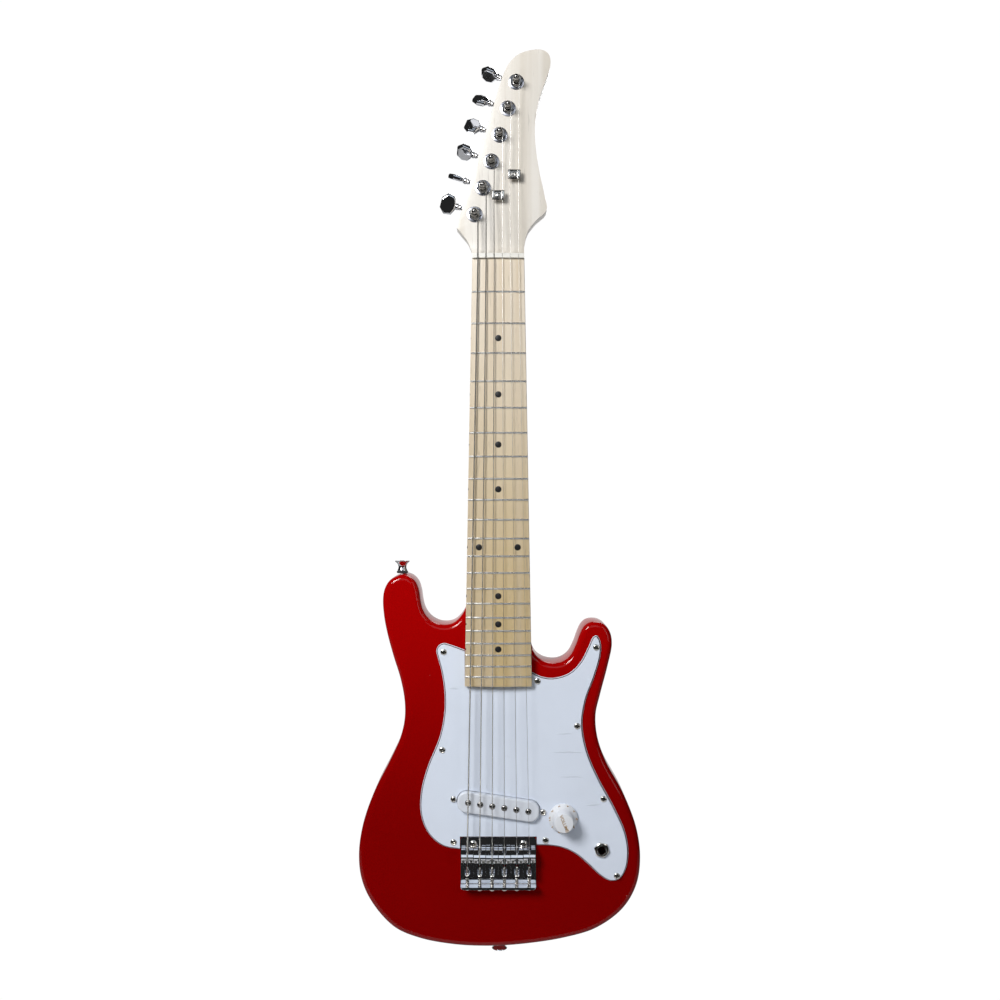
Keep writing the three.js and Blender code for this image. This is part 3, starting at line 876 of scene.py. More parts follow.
def flatten(piece: bpy.types.Object, angle: float) -> None:
    """Weights a piece's normals by the size of its faces.

    Args:
        piece: the object to change.
        angle: edges sharper than this many degrees stay sharp.
    """
    plain = piece.data
    plain.polygons.foreach_set("use_smooth", [True] * len(plain.polygons))
    plain.set_sharp_from_angle(angle=math.radians(angle))
    weigh = piece.modifiers.new("weigh", "WEIGHTED_NORMAL")
    weigh.keep_sharp = True
    name = plain.name
    plain.name = "plain"
    baked = bpy.data.meshes.new_from_object(
        piece.evaluated_get(bpy.context.evaluated_depsgraph_get()), preserve_all_data_layers=True,
        depsgraph=bpy.context.evaluated_depsgraph_get())
    piece.modifiers.clear()
    baked.name = name
    piece.data = baked
    bpy.data.meshes.remove(plain)


def make(
    name: str, solid: Solid, finish: Finish, body: str = ROOT, replaces: Sequence[str] = (), angle: float = 35,
    crisp: bool = False
) -> bpy.types.Object:
    """Makes a piece from a solid.

    Args:
        name: the piece's name.
        solid: its shape in millimetres.
        finish: its finish.
        body: the CAD body it moves with.
        replaces: the CAD nodes it stands for.
        angle: edges sharper than this many degrees stay sharp.
        crisp: whether its flat faces are kept flat and only its rounded edges are smooth.

    Returns:
        The new object.
    """
    piece = bpy.data.objects.new(name, solid.mesh(name))
    piece.data.materials.append(finish.material())
    bpy.context.scene.collection.objects.link(piece)
    if crisp:
        flatten(piece, angle)
    settle(piece, body, replaces, angle)
    return piece


class Graph:
    """A geometry node tree that ends in real, finished mesh."""

    def __init__(self, name: str, inputs: dict[str, str]) -> None:
        """Starts a tree.

        Args:
            name: the tree's name.
            inputs: the kind of each named input.
        """
        self.tree = bpy.data.node_groups.new(name, "GeometryNodeTree")
        sockets = self.tree.interface
        sockets.new_socket("Geometry", in_out="INPUT", socket_type="NodeSocketGeometry")
        sockets.new_socket("Geometry", in_out="OUTPUT", socket_type="NodeSocketGeometry")
        for label, kind in {**inputs, "Finish": "Material"}.items():
            sockets.new_socket(label, in_out="INPUT", socket_type=f"NodeSocket{kind}")
        self.given = self.tree.nodes.new("NodeGroupInput").outputs

    def node(self, kind: str, inputs: dict | None = None, **settings: object) -> bpy.types.Node:
        """Adds a node; an input may be a value, a socket or another node's first output.

        Args:
            kind: the node's type.
            inputs: what each input gets, by name or number.
            settings: the node's own options.

        Returns:
            The new node.
        """
        made = self.tree.nodes.new(kind)
        for name, value in settings.items():
            setattr(made, name, value)
        for name, value in (inputs or {}).items():
            if isinstance(value, bpy.types.Node):
                value = value.outputs[0]
            if isinstance(value, bpy.types.NodeSocket):
                self.tree.links.new(value, made.inputs[name])
            else:
                made.inputs[name].default_value = value
        return made

    def math(self, operation: str, one: object, two: object = 0.0) -> bpy.types.Node:
        """Adds a sum on one or two numbers."""
        return self.node("ShaderNodeMath", {0: one, 1: two}, operation=operation)

    def end(self, geometry: object) -> None:
        """Ends the tree: real mesh, then its material.

        Args:
            geometry: the last node or socket that carries geometry.
        """
        real = self.node("GeometryNodeRealizeInstances", {0: geometry})
        dressed = self.node("GeometryNodeSetMaterial", {"Geometry": real, "Material": self.given["Finish"]})
        self.tree.links.new(dressed.outputs[0], self.tree.nodes.new("NodeGroupOutput").inputs[0])

    def grow(self, name: str, seed: bpy.types.Mesh, values: dict[str, object]) -> bpy.types.Object:
        """Runs the tree on a mesh and keeps the result as a plain object.

        Args:
            name: the new object's name.
            seed: the mesh that the tree starts from.
            values: a value for each named input.

        Returns:
            The object, with no modifier left on it.
        """
        carrier = bpy.data.objects.new(name, seed)
        bpy.context.scene.collection.objects.link(carrier)
        grown = carrier.modifiers.new("grown", "NODES")
        grown.node_group = self.tree
        for item in self.tree.interface.items_tree:
            if item.item_type == "SOCKET" and item.in_out == "INPUT" and item.name in values:
                grown[item.identifier] = values[item.name]
        ready = carrier.evaluated_get(bpy.context.evaluated_depsgraph_get())
        result = bpy.data.meshes.new_from_object(ready)
        carrier.modifiers.remove(grown)
        carrier.data = result
        result.name = name
        bpy.data.meshes.remove(seed)
        return carrier


def seed_points(places: Sequence[Vector], facings: Sequence[Vector]) -> bpy.types.Mesh:
    """Makes a mesh of loose points in metres, each with the way its copy faces.

    Args:
        places: where the copies stand, in millimetres.
        facings: the way each one faces.

    Returns:
        The mesh of points.
    """
    mesh = bpy.data.meshes.new("points")
    mesh.from_pydata([p * MM for p in places], [], [])
    facing = mesh.attributes.new("facing", "FLOAT_VECTOR", "POINT")
    for k, way in enumerate(facings):
        facing.data[k].vector = way
    return mesh


@dataclass
class Copies:
    """Copies of one solid on points. The solid is drawn at the origin, facing -Y."""

    graph: Graph | None = None

    def tree(self) -> Graph:
        """Returns the node tree, made once.

        Returns:
            The node tree.
        """
        if self.graph is None:
            g = Graph("copies_on_points", {"Template": "Object", "Spin": "Float", "Seed": "Int"})
            facing = g.node("GeometryNodeInputNamedAttribute", {"Name": "facing"}, data_type="FLOAT_VECTOR")
            away = g.node("ShaderNodeVectorMath", {0: facing, "Scale": -1.0}, operation="SCALE")
            aligned = g.node("FunctionNodeAlignRotationToVector", {"Vector": away}, axis="Y")
            low = g.math("MULTIPLY", g.given["Spin"], -1.0)
            inputs = {2: low, 3: g.given["Spin"], "Seed": g.given["Seed"]}
            spin = g.node("FunctionNodeRandomValue", inputs, data_type="FLOAT").outputs[1]
            twist = g.node("FunctionNodeAxisAngleToRotation", {"Axis": (0, 1, 0), "Angle": spin})
            turned = g.node(
                "FunctionNodeRotateRotation", {0: aligned, 1: twist}, rotation_space="LOCAL")
            shape = g.node("GeometryNodeObjectInfo", {"Object": g.given["Template"]}).outputs["Geometry"]
            inputs = {"Points": g.given["Geometry"], "Instance": shape, "Rotation": turned}
            g.end(g.node("GeometryNodeInstanceOnPoints", inputs))
            self.graph = g
        return self.graph

    def place(
        self,
        name: str,
        solid: Solid,
        places: Sequence[Vector],
        facings: Sequence[Vector],
        finish: Finish,
        body: str = ROOT,
        spin: float = 0,
        seed: int = 1,
        replaces: Sequence[str] = (),
    ) -> bpy.types.Object:
        """Puts a copy on every point and makes them one piece.

        Args:
            name: the piece's name.
            solid: the shape that is repeated.
            places: where the copies stand, in millimetres.
            facings: the way each copy faces.
            finish: their finish.
            body: the CAD body they move with.
            spin: the most a copy is turned about its axis, in radians.
            seed: the seed of those turns.
            replaces: the CAD nodes that the piece stands for.

        Returns:
            The new piece.
        """
        template = bpy.data.objects.new("template", solid.mesh("template"))
        bpy.context.scene.collection.objects.link(template)
        values = {"Template": template, "Spin": spin, "Seed": seed, "Finish": finish.material()}
        piece = self.tree().grow(name, seed_points(places, facings), values)
        bpy.data.objects.remove(template)
        settle(piece, body, replaces, 35)
        return piece


COPIES = Copies()
FRONT = Vector((0, -1, 0))
BACK = Vector((0, 1, 0))


@dataclass
class Coil:
    """A helix of round wire."""

    graph: Graph | None = None

    def tree(self) -> Graph:
        """Returns the node tree, made once.

        Returns:
            The node tree.
        """
        if self.graph is None:
            g = Graph("wire_coil", {"Turns": "Float", "Radius": "Float", "Length": "Float", "Wire": "Float"})
            radius = g.given["Radius"]
            inputs = {"Resolution": 24, "Rotations": g.given["Turns"], "Start Radius": radius}
            inputs |= {"End Radius": radius, "Height": g.given["Length"]}
            helix = g.node("GeometryNodeCurveSpiral", inputs)
            ring = g.node("GeometryNodeCurvePrimitiveCircle", {"Resolution": 8, "Radius": g.given["Wire"]})
            inputs = {"Curve": helix, "Profile Curve": ring, "Fill Caps": True}
            g.end(g.node("GeometryNodeCurveToMesh", inputs))
            self.graph = g
        return self.graph

    def wind(
        self, name: str, turns: float, radius: float, length: float, wire: float, place: Matrix, finish: Finish
    ) -> bpy.types.Object:
        """Winds a coil that starts on its local X axis and climbs local Z.

        Args:
            name: the new object's name.
            turns: how many turns it has.
            radius: from its axis to the wire's centre.
            length: from its first to its last turn.
            wire: the wire's radius.
            place: carries it to its place, in millimetres.
            finish: its finish.

        Returns:
            The object, not yet on a body.
        """
        values = {"Turns": turns, "Radius": radius * MM, "Length": length * MM, "Wire": wire * MM}
        piece = self.tree().grow(name, bpy.data.meshes.new("start"), {**values, "Finish": finish.material()})
        move = place.copy()
        move.translation *= MM
        piece.data.transform(move)
        return piece


COIL = Coil()


def centre(node: str) -> Vector:
    """Returns the middle of a CAD node's box, in millimetres."""
    low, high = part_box(node)
    return (Vector(low) + Vector(high)) / 2 / MM


def joint_place(name: str) -> Vector:
    """Returns a hinge's position, in millimetres."""
    found = next(j for j in frame["joints"] if j["name"] == name)
    return Vector(found["pos_m"]) / MM


def cross_head(radius: float, height: float, sides: int = 24) -> Solid:
    """Builds a domed screw head with a cross recess, standing on Y = 0 and facing -Y.

    Args:
        radius: the head's radius.
        height: the head's height.
        sides: how many sides it has.

    Returns:
        The head.
    """
    steps = [math.pi / 2 * k / 5 for k in range(6)]
    dome = [(radius * math.sin(a), -0.25 * height - 0.75 * height * math.cos(a)) for a in steps]
    head = lathe([*dome, (radius, 0), (0, 0)], sides)
    arm, wide = radius * 0.68, radius * 0.17
    recess = stack(
        [Vector(p) for p in (
            (arm, -wide), (arm, wide), (wide, wide), (wide, arm), (-wide, arm), (-wide, wide),
            (-arm, wide), (-arm, -wide), (-wide, -wide), (-wide, -arm), (wide, -arm), (wide, -wide))],
        [(-0.02 * radius, -height - 0.2), (wide * 0.5, -height * 0.2)],
    )
    return combined(head, Blend.CUT, recess)


def hexagon(flats: float, front: float, back: float, turn: float, bore: float) -> Solid:
    """Builds a hexagon nut whose corners are chamfered at its front.

    Args:
        flats: the size across its flats.
        front: the Y of its front face.
        back: the Y of its back face.
        turn: how far it is turned, in degrees.
        bore: its hole's radius, or 0.

    Returns:
        The solid.
    """
    corner = flats / math.sqrt(3)
    spin = Matrix.Rotation(math.radians(turn), 4, "Y")
    prism = slab(circle(corner, 6), front, back).placed(spin)
    soft = 0.28 * (back - front)
    cone = lathe([(0, front), (flats * 0.47, front), (corner + 0.1, front + soft * 1.6),
                  (corner + 0.1, back), (0, back)], 48)
    nut = combined(prism, Blend.KEEP, cone)
    if bore:
        nut = combined(nut, Blend.CUT, slab(circle(bore, 32), front - 1, back + 1))
    return nut


# ---------------------------------------------------------------- body and neck

BODY_RIM = (
    (-20, -285), (-26, -295.6), (-28.6, -300.2), (-31, -304.6), (-34.4, -309), (-39.3, -312.7),
    (-45.6, -314.1), (-52.3, -313.3), (-58.1, -310.4),
    (-62.4, -306.2), (-65.6, -300.2), (-67.3, -292.6), (-68.5, -284.8), (-71.4, -277.2), (-76.6, -272.4),
    (-82.7, -270.8), (-88.9, -272.4), (-94.2, -275.9), (-98.2, -282.2), (-100, -291), (-99.3, -305),
    (-96.5, -320.5), (-91, -341), (-84.8, -361), (-81.3, -380), (-81.3, -396), (-85, -412),
    (-93.9, -431.5), (-107.2, -458), (-117.3, -487), (-120.9, -513), (-118.4, -535), (-109.2, -555),
    (-90, -576), (-68, -585.5), (-38.4, -591), (-8, -592.4), (22, -590.6), (58, -585),
    (85, -576.6), (108, -559.6), (119.6, -539.5), (123, -516), (119.6, -490), (108.2, -460),
    (93, -432), (85.8, -411), (84.4, -392), (88.4, -374), (94.6, -350.5), (98.5, -331),
    (97, -321), (92.7, -314.6), (87.7, -312), (82.4, -311.5), (77.6, -312.7), (73.6, -316.2),
    (70.3, -322.7), (66.7, -332.4), (62.1, -341), (55.4, -346), (47.9, -347.3), (39.6, -345.6),
    (33, -341), (29.4, -334), (28.3, -318), (27.8, -309),
)


@dataclass
class Neck:
    """The maple neck with its headstock, fretboard, frets, dots and nut."""

    scale_length: float = 508
    fret_count: int = 21
    nut_width: float = 44.5
    end_width: float = 57.5
    board_length: float = 365.4
    radius: float = 241
    board_top: float = -9.5
    board_back: float = -5
    face: float = -2
    back: float = 12
    heel_end: float = -360
    heel_back: float = 15.6
    dot_frets: tuple[int, ...] = (3, 5, 7, 9, 15, 17, 19)
    treble_side: tuple[Pair, ...] = (
        (22.3, 1), (22.4, 13), (25.4, 25), (32.2, 34), (41.6, 43.6), (40, 54.6), (35.2, 77), (31.9, 100),
        (31.6, 117), (35, 138), (41.2, 156), (44.8, 168), (43.6, 177), (38, 181), (28, 180.8), (17, 177),
        (8.8, 169), (3.2, 157.3),
    )
    bass_side: tuple[Pair, ...] = ((-35.8, 28.2), (-31.5, 23), (-26.4, 16.4), (-23.4, 9), (-22.3, 1))

    def half_width(self, z: float) -> float:
        """Returns half the neck's width at a height."""
        return (self.nut_width - (self.end_width - self.nut_width) * z / self.board_length) / 2

    def fret_z(self, fret: int) -> float:
        """Returns a fret's height, 0 being the nut."""
        return -self.scale_length * (1 - 2 ** (-fret / 12))

    def crown(self, x: float) -> float:
        """Returns how far the fretboard falls away at X."""
        return x * x / (2 * self.radius)

    def section(self, z: float, half: float, top: float, depth: float, square: float) -> list[Vector]:
        """Draws the neck's cross-section; square 1 is round-backed and larger is boxier.

        Args:
            z: its height.
            half: half its width.
            top: the Y of its flat side.
            depth: how thick it is.
            square: how boxy its back is.

        Returns:
            The section's points.
        """
        points = []
        for k in range(29):
            a = math.pi * k / 28
            swell = math.sin(a) ** (0.85 / square)
            x = math.copysign(abs(math.cos(a)) ** (1 / square), math.cos(a)) * half
            points.append(Vector((x, top + 0.12 * depth + 0.88 * depth * swell, z)))
        return [Vector((half, top, z)), *points, Vector((-half, top, z))]

    def shaft(self) -> Solid:
        """Lofts the playing part of the neck and its heel.

        Returns:
            The shaft.
        """
        top = self.board_back + 0.1
        rows = []
        for z in (20, 10, 4.3, 0, -60, -120, -180, -240, -286):
            sunk = 4 if z > 5 else 0
            depth = 15.6 + 1.8 * min(1, max(0, -z / 300)) - sunk
            rows.append(self.section(z, self.half_width(z), top + sunk, depth, 1))
        for k in range(1, 9):
            t = k / 8
            ease = t * t * (3 - 2 * t)
            z = -286 - 17.5 * t
            depth = 17.3 + (self.heel_back - top - 17.3) * ease
            rows.append(self.section(z, self.half_width(z), top, depth, 1 + 7 * ease))
        for z, inset in ((-354, 0), (-357.5, 1.2), (-359.3, 3.4), (self.heel_end, 6)):
            half = self.half_width(z) - inset
            rows.append(self.section(z, half, top, self.heel_back - top, 8))
        return loft(rows)

    def corner(self, side: int) -> Solid:
        """Builds the cutter that carries the neck's round back into the headstock's flat one.

        Args:
            side: 1 for the treble corner and -1 for the bass one.

        Returns:
            The cutter.
        """
        rows = []
        for k in range(7):
            out = 1 - (1 - k / 6) ** 0.6
            bends = (math.pi / 2 * n / 10 for n in range(11))
            curve = [(22.25 * math.cos(a) + 34 * out, -3.1 + (13.7 + 3 * out) * math.sin(a) ** 0.85) for a in bends]
            ring = [(-2.0, 16.0), (90.0, 16.0), (90.0, -3.1), *curve]
            rows.append([Vector((side * x, y, 0.6 + 4 * k)) for x, y in ring])
        return loft(rows)

    def headstock(self) -> Solid:
        """Builds the headstock with its scooped step down from the nut.

        Returns:
            The headstock.
        """
        outline = smooth_line(self.treble_side, 150) + smooth_line(self.bass_side, 30)
        blank = slab(outline, self.board_top + 1.2, self.back)
        sweep = [(self.face - 6.6 * (1 - math.sin(a)) ** 1.6, 4.2 + 17 * (1 - math.cos(a)))
                 for a in (math.pi / 2 * k / 12 for k in range(13))]
        profile = [(-40, 4.2), *[(y, z) for y, z in sweep], (self.face, 200), (-40, 200)]
        shaped = eased(combined(blank, Blend.CUT, across(profile, 160, 5)), 0.8, 3, 50)
        shaped = combined(shaped, Blend.CUT, self.corner(-1), self.corner(1))
        holes = [slab(circle(5, 20), -20, 20).moved(p.x, 0, p.z) for p in tuner_places()]
        return combined(shaped, Blend.CUT, *holes)

    def wood(self) -> None:
        """Makes the neck itself."""
        joined = combined(self.shaft(), Blend.JOIN, self.headstock())
        make("maple_neck", joined, NECK_MAPLE, replaces=["neck"], angle=32)

    def board(self) -> None:
        """Makes the crowned fretboard."""
        steps = [-1 + 2 * k / 24 for k in range(25)]
        lip = 0.45
        rows = []
        for z in (-0.2, -0.5, -self.board_length + 0.8, -self.board_length):
            half = self.half_width(z)
            end = 0.5 if z in (-self.board_length,) else 0
            tops = [Vector((s * (half - lip), self.board_top + end + self.crown(s * (half - lip)), z)) for s in steps]
            edge = self.board_top + end + self.crown(half) + lip
            rows.append([Vector((-half, edge, z)), *tops, Vector((half, edge, z)),
                         Vector((half, self.board_back, z)), Vector((-half, self.board_back, z))])
        make("fretboard", loft(rows), BOARD_MAPLE, replaces=["fretboard_with_frets"])

    def frets(self) -> None:
        """Grows the frets, spaced by equal temperament and bent to the fretboard's crown."""
        inputs = {"Frets": "Int", "Scale Length": "Float", "Nut Half Width": "Float", "Taper": "Float",
                  "Top": "Float", "Crown Radius": "Float", "Wire": "Float"}
        g = Graph("fret_wires", inputs)
        line = g.node("GeometryNodeMeshLine", {"Count": g.given["Frets"], "Offset": (0, 0, 0)})
        number = g.math("ADD", g.node("GeometryNodeInputIndex"), 1.0)
        numbered = g.node("GeometryNodeStoreNamedAttribute", {"Geometry": line, "Name": "fret", "Value": number})
        bar = g.node("GeometryNodeCurvePrimitiveLine", {"Start": (-1, 0, 0), "End": (1, 0, 0)})
        bar = g.node("GeometryNodeResampleCurve", {"Curve": bar, "Count": 17})
        wires = g.node("GeometryNodeInstanceOnPoints", {"Points": numbered, "Instance": bar})
        wires = g.node("GeometryNodeRealizeInstances", {0: wires})
        fret = g.node("GeometryNodeInputNamedAttribute", {"Name": "fret"}, data_type="FLOAT")
        part = g.math("POWER", 2.0, g.math("DIVIDE", fret, -12.0))
        height = g.math("MULTIPLY", g.given["Scale Length"], g.math("SUBTRACT", part, 1.0))
        half = g.math("SUBTRACT", g.given["Nut Half Width"], g.math("MULTIPLY", height, g.given["Taper"]))
        along = g.node("ShaderNodeSeparateXYZ", {0: g.node("GeometryNodeInputPosition")})
        x = g.math("MULTIPLY", along.outputs[0], half)
        twice = g.math("MULTIPLY", g.given["Crown Radius"], 2.0)
        y = g.math("ADD", g.given["Top"], g.math("DIVIDE", g.math("MULTIPLY", x, x), twice))
        spot = g.node("ShaderNodeCombineXYZ", {0: x, 1: y, 2: height})
        bent = g.node("GeometryNodeSetPosition", {"Geometry": wires, "Position": spot})
        ring = g.node("GeometryNodeCurvePrimitiveCircle", {"Resolution": 12, "Radius": g.given["Wire"]})
        g.end(g.node("GeometryNodeCurveToMesh", {"Curve": bent, "Profile Curve": ring, "Fill Caps": True}))
        taper = (self.end_width - self.nut_width) / self.board_length / 2
        values = {"Frets": self.fret_count, "Scale Length": self.scale_length * MM,
                  "Nut Half Width": (self.nut_width / 2 - 0.35) * MM, "Taper": taper, "Top": self.board_top * MM,
                  "Crown Radius": self.radius * MM, "Wire": 0.95 * MM, "Finish": FRET_WIRE.material()}
        wires = g.grow("frets", bpy.data.meshes.new("start"), values)
        settle(wires, ROOT, (), 50)

    def dots(self) -> None:
        """Sets the position dots between the frets, two at the octave, and the side dots."""
        marks = [(0.0, fret) for fret in self.dot_frets] + [(-16.5, 12), (16.5, 12)]
        places = [
            Vector((x, self.board_top + self.crown(x) - 0.04, (self.fret_z(f) + self.fret_z(f - 1)) / 2))
            for x, f in marks
        ]
        facings = [Vector((x / self.radius, -1, 0)).normalized() for x, _ in marks]
        disc = lathe([(0, 0), (2.6, 0), (2.75, 0.06), (2.75, 0.8), (0, 0.8)], 32)
        COPIES.place("position_dots", disc, places, facings, INLAY_BLACK)
        small = lathe([(0, -0.03), (0.9, -0.03), (1, 0.1), (1, 0.6), (0, 0.6)], 16)
        sides = [Vector((-self.half_width(p.z), -7.2, p.z)) for p in places]
        COPIES.place("side_dots", small, sides, [Vector((-1, 0, 0))] * len(sides), INLAY_BLACK)

    def nut(self) -> None:
        """Makes the nut, with a slot for each string."""
        half = self.nut_width / 2 - 0.1
        top = -11.9
        outline = [Vector((-half, self.board_back)), Vector((half, self.board_back))]
        count = 240
        for k in range(count + 1):
            x = half - 2 * half * k / count
            y = top + self.crown(x)
            for i in range(STRING_COUNT):
                gap = abs(x - STRINGS.nut_x(i))
                r = STRINGS.radii[i] + 0.08
                if gap < r:
                    y = STRINGS.nut_y(i) + math.sqrt(r * r - gap * gap)
            outline.append(Vector((x, y)))
        nut = slab(outline, 0.1, 3.9, 0).placed(UPRIGHT)
        make("nut_bone", nut, BONE, replaces=["nut"], angle=30)

    def build(self) -> None:
        """Makes every piece of the neck."""
        self.wood()
        self.board()
        self.frets()
        self.dots()
        self.nut()


@dataclass
class GuitarBody:
    """The lacquered body, its neck plate and what is let into its back."""

    thickness: float = 38
    edge: float = 5
    pocket_depth: float = 15.9
    plate_z: float = -333
    plate_screws: tuple[Pair, ...] = ((-19, 22.5), (19, 22.5), (19, -22.5), (-19, -22.5))

    def shape(self, neck: Neck, pickup: "Pickup") -> Solid:
        """Carves the body: the rounded blank less its pocket, routs and string holes.

        Args:
            neck: the neck that is let in.
            pickup: the pickup that is let in.

        Returns:
            The body.
        """
        rim = [p * 0.9995 for p in smooth_line(BODY_RIM, 620)]
        arc = [math.pi / 2 * k / 8 for k in range(1, 8)]
        corner = 7.5
        right = [Vector((27.8 - corner + corner * math.cos(a), -309 + corner * math.sin(a))) for a in arc]
        heel = [Vector((-3, -309 + corner)), Vector((-3, -285))]
        blank = slab([rim[0], *rim[6:], *right, *heel], 0, self.thickness, self.edge, 7)
        top, low = neck.half_width(-300) + 0.3, neck.half_width(neck.heel_end) + 0.3
        end = neck.heel_end - 0.3
        seat = filleted([(-top, -290), (-low, end), (low, end), (top, -290)], 6)
        pocket = slab(seat, -1, self.pocket_depth)
        mouth = block((18, -1, -336), (40, self.pocket_depth, -290))
        clear = block((-28, -1, -303.3), (28, self.thickness + 1, -280))
        pickup_rout = slab(rounded_rectangle(92, 27, 5), -1, 20).placed(pickup.lean())
        knob, jack = centre("volume_knob"), centre("jack_nut")
        cavities = [slab(circle(13.5, 32), -1, 30).moved(p.x, 0, p.z) for p in (knob, jack)]
        run = jack - knob
        turn = Matrix.Rotation(math.atan2(-run.z, run.x), 4, "Y")
        link = block((0, -1, -8), (Vector((run.x, run.z)).length, 30, 8)).placed(
            Matrix.Translation((knob.x, 0, knob.z)) @ turn)
        holes = [slab(circle(1.8, 16), -1, 32).moved(p.x, 0, p.z) for p in STRINGS.body_holes()]
        ferrules = [slab(circle(4.2, 24), 31, 40).moved(p.x, 0, p.z) for p in STRINGS.body_holes()]
        control = combined(cavities[0], Blend.JOIN, cavities[1], link)
        return combined(blank, Blend.CUT, clear, pocket, mouth, pickup_rout, control, *holes, *ferrules)

    def build(self, neck: Neck, pickup: "Pickup") -> None:
        """Makes the body, the neck plate with its screws, and the string ferrules.

        Args:
            neck: the neck that is let in.
            pickup: the pickup that is let in.
        """
        make("body_lacquered", self.shape(neck, pickup), RED, replaces=["body"], angle=30)
        plate = slab(rounded_rectangle(48, 56, 5, 0, self.plate_z), self.thickness + 0.1, 40, 0.6, 3)
        make("neck_plate_chrome", plate, CHROME, replaces=["neck_plate"])
        spots = [Vector((x, 39.98, self.plate_z + z)) for x, z in self.plate_screws]
        low_head = cross_head(3.6, 0.02 + 1.2)
        sunk = [p - Vector((0, 1.2, 0)) for p in spots]
        COPIES.place("neck_screws", low_head, sunk, [BACK] * 4, NICKEL, spin=1.5, seed=4)
        ring = lathe([(1.7, 0.1), (3.6, 0.1), (4.1, 0.35), (4.1, 6.5), (2.6, 6.5), (2.6, 2.5), (1.7, 2.5)],
                     32, ring=True)
        places = [Vector((p.x, self.thickness, p.z)) for p in STRINGS.body_holes()]
        COPIES.place("string_ferrules", ring, places, [BACK] * STRING_COUNT, NICKEL)


# ---------------------------------------------------------------- pickguard and electrics


@dataclass
class Pickguard:
    """The three-layer pickguard and its screws."""

    front: float = -2.2
    back: float = -0.2
    layers: tuple[Pair, ...] = ((0.0, -0.2), (0.45, -0.8), (1.05, -1.45), (1.45, -2.2))
    left: tuple[Pair, ...] = (
        (-24, -337.5), (-29.4, -335), (-42.8, -330.2), (-47.4, -329.3), (-51.6, -331.6), (-53.5, -336), (-52.2, -341.5),
        (-48.6, -355.5), (-46.3, -373), (-46.6, -390), (-50.5, -409.9), (-61.2, -436.8), (-66.4, -457),
        (-66.8, -476), (-60.5, -492.8), (-48, -503.8), (-33.1, -506.8), (-27, -507.5),
    )
    right: tuple[Pair, ...] = (
        (27, -503.4), (33.1, -503.4), (45.3, -503.8), (57, -506.2), (67.5, -511.5), (78, -520.4), (88, -529.7),
        (97, -534.2), (104.5, -532.4), (110, -523.5), (112, -509.4), (109.5, -492.5), (100.1, -471.1),
        (86.5, -446), (76.6, -422.6), (72.5, -400), (75.2, -379.1), (83, -357.5), (87.8, -341),
        (88.4, -330), (86.5, -324.6), (84.1, -322.6), (81.5, -324.2), (77.4, -333), (70.5, -346),
        (60.5, -355.4), (47, -359.4), (37, -358), (29.4, -354.5), (24, -352.5),
    )
    screws: tuple[Pair, ...] = (
        (-47, -336.8), (84.2, -332.9), (33.7, -361.9), (67.8, -400.5), (-48.2, -421.1),
        (90.5, -463.2), (-38.5, -500.4), (40.7, -498.8), (102, -529.4),
    )

    def outline(self) -> list[Vector]:
        """Draws the guard's edge, as if the notches for the bridge and the neck were full."""
        return smooth_line(self.left, 190) + smooth_line(self.right, 340)

    def build(self, pickup: "Pickup") -> None:
        """Makes the white, black and white layers, and the screws.

        Args:
            pickup: the pickup it is cut for.
        """
        outline = self.outline()
        knob, jack = centre("volume_knob"), centre("jack_nut")
        tools = [
            slab(rounded_rectangle(72, 18.8, 9.39), -4, 1).placed(pickup.lean()),
            slab(circle(3.9, 24), -4, 1).moved(knob.x, 0, knob.z),
            slab(circle(4.8, 24), -4, 1).moved(jack.x, 0, jack.z),
            block((-28.95, -4, -361), (28.95, 1, -300)),
            block((-33.1, -4, -520), (33.1, 1, -495.4)),
        ]
        tools += [slab(circle(1.9, 16), -4, 1).moved(p.x, 0, p.z) for p in pickup.screw_places()]
        names = (("guard_back_layer", GUARD_WHITE), ("guard_middle_layer", GUARD_BLACK),
                 ("guard_top_layer", GUARD_WHITE))
        for (name, finish), low, high in zip(names, self.layers, self.layers[1:]):
            layer = combined(stack(outline, [low, high]), Blend.CUT, *tools)
            make(name, layer, finish, replaces=["pickguard"] if finish is GUARD_BLACK else ())
        head = cross_head(2.75, 1.15)
        places = [Vector((x, self.front + 0.05, z)) for x, z in self.screws]
        COPIES.place("guard_screws", head, places, [FRONT] * len(places), NICKEL, spin=1.5, seed=7)


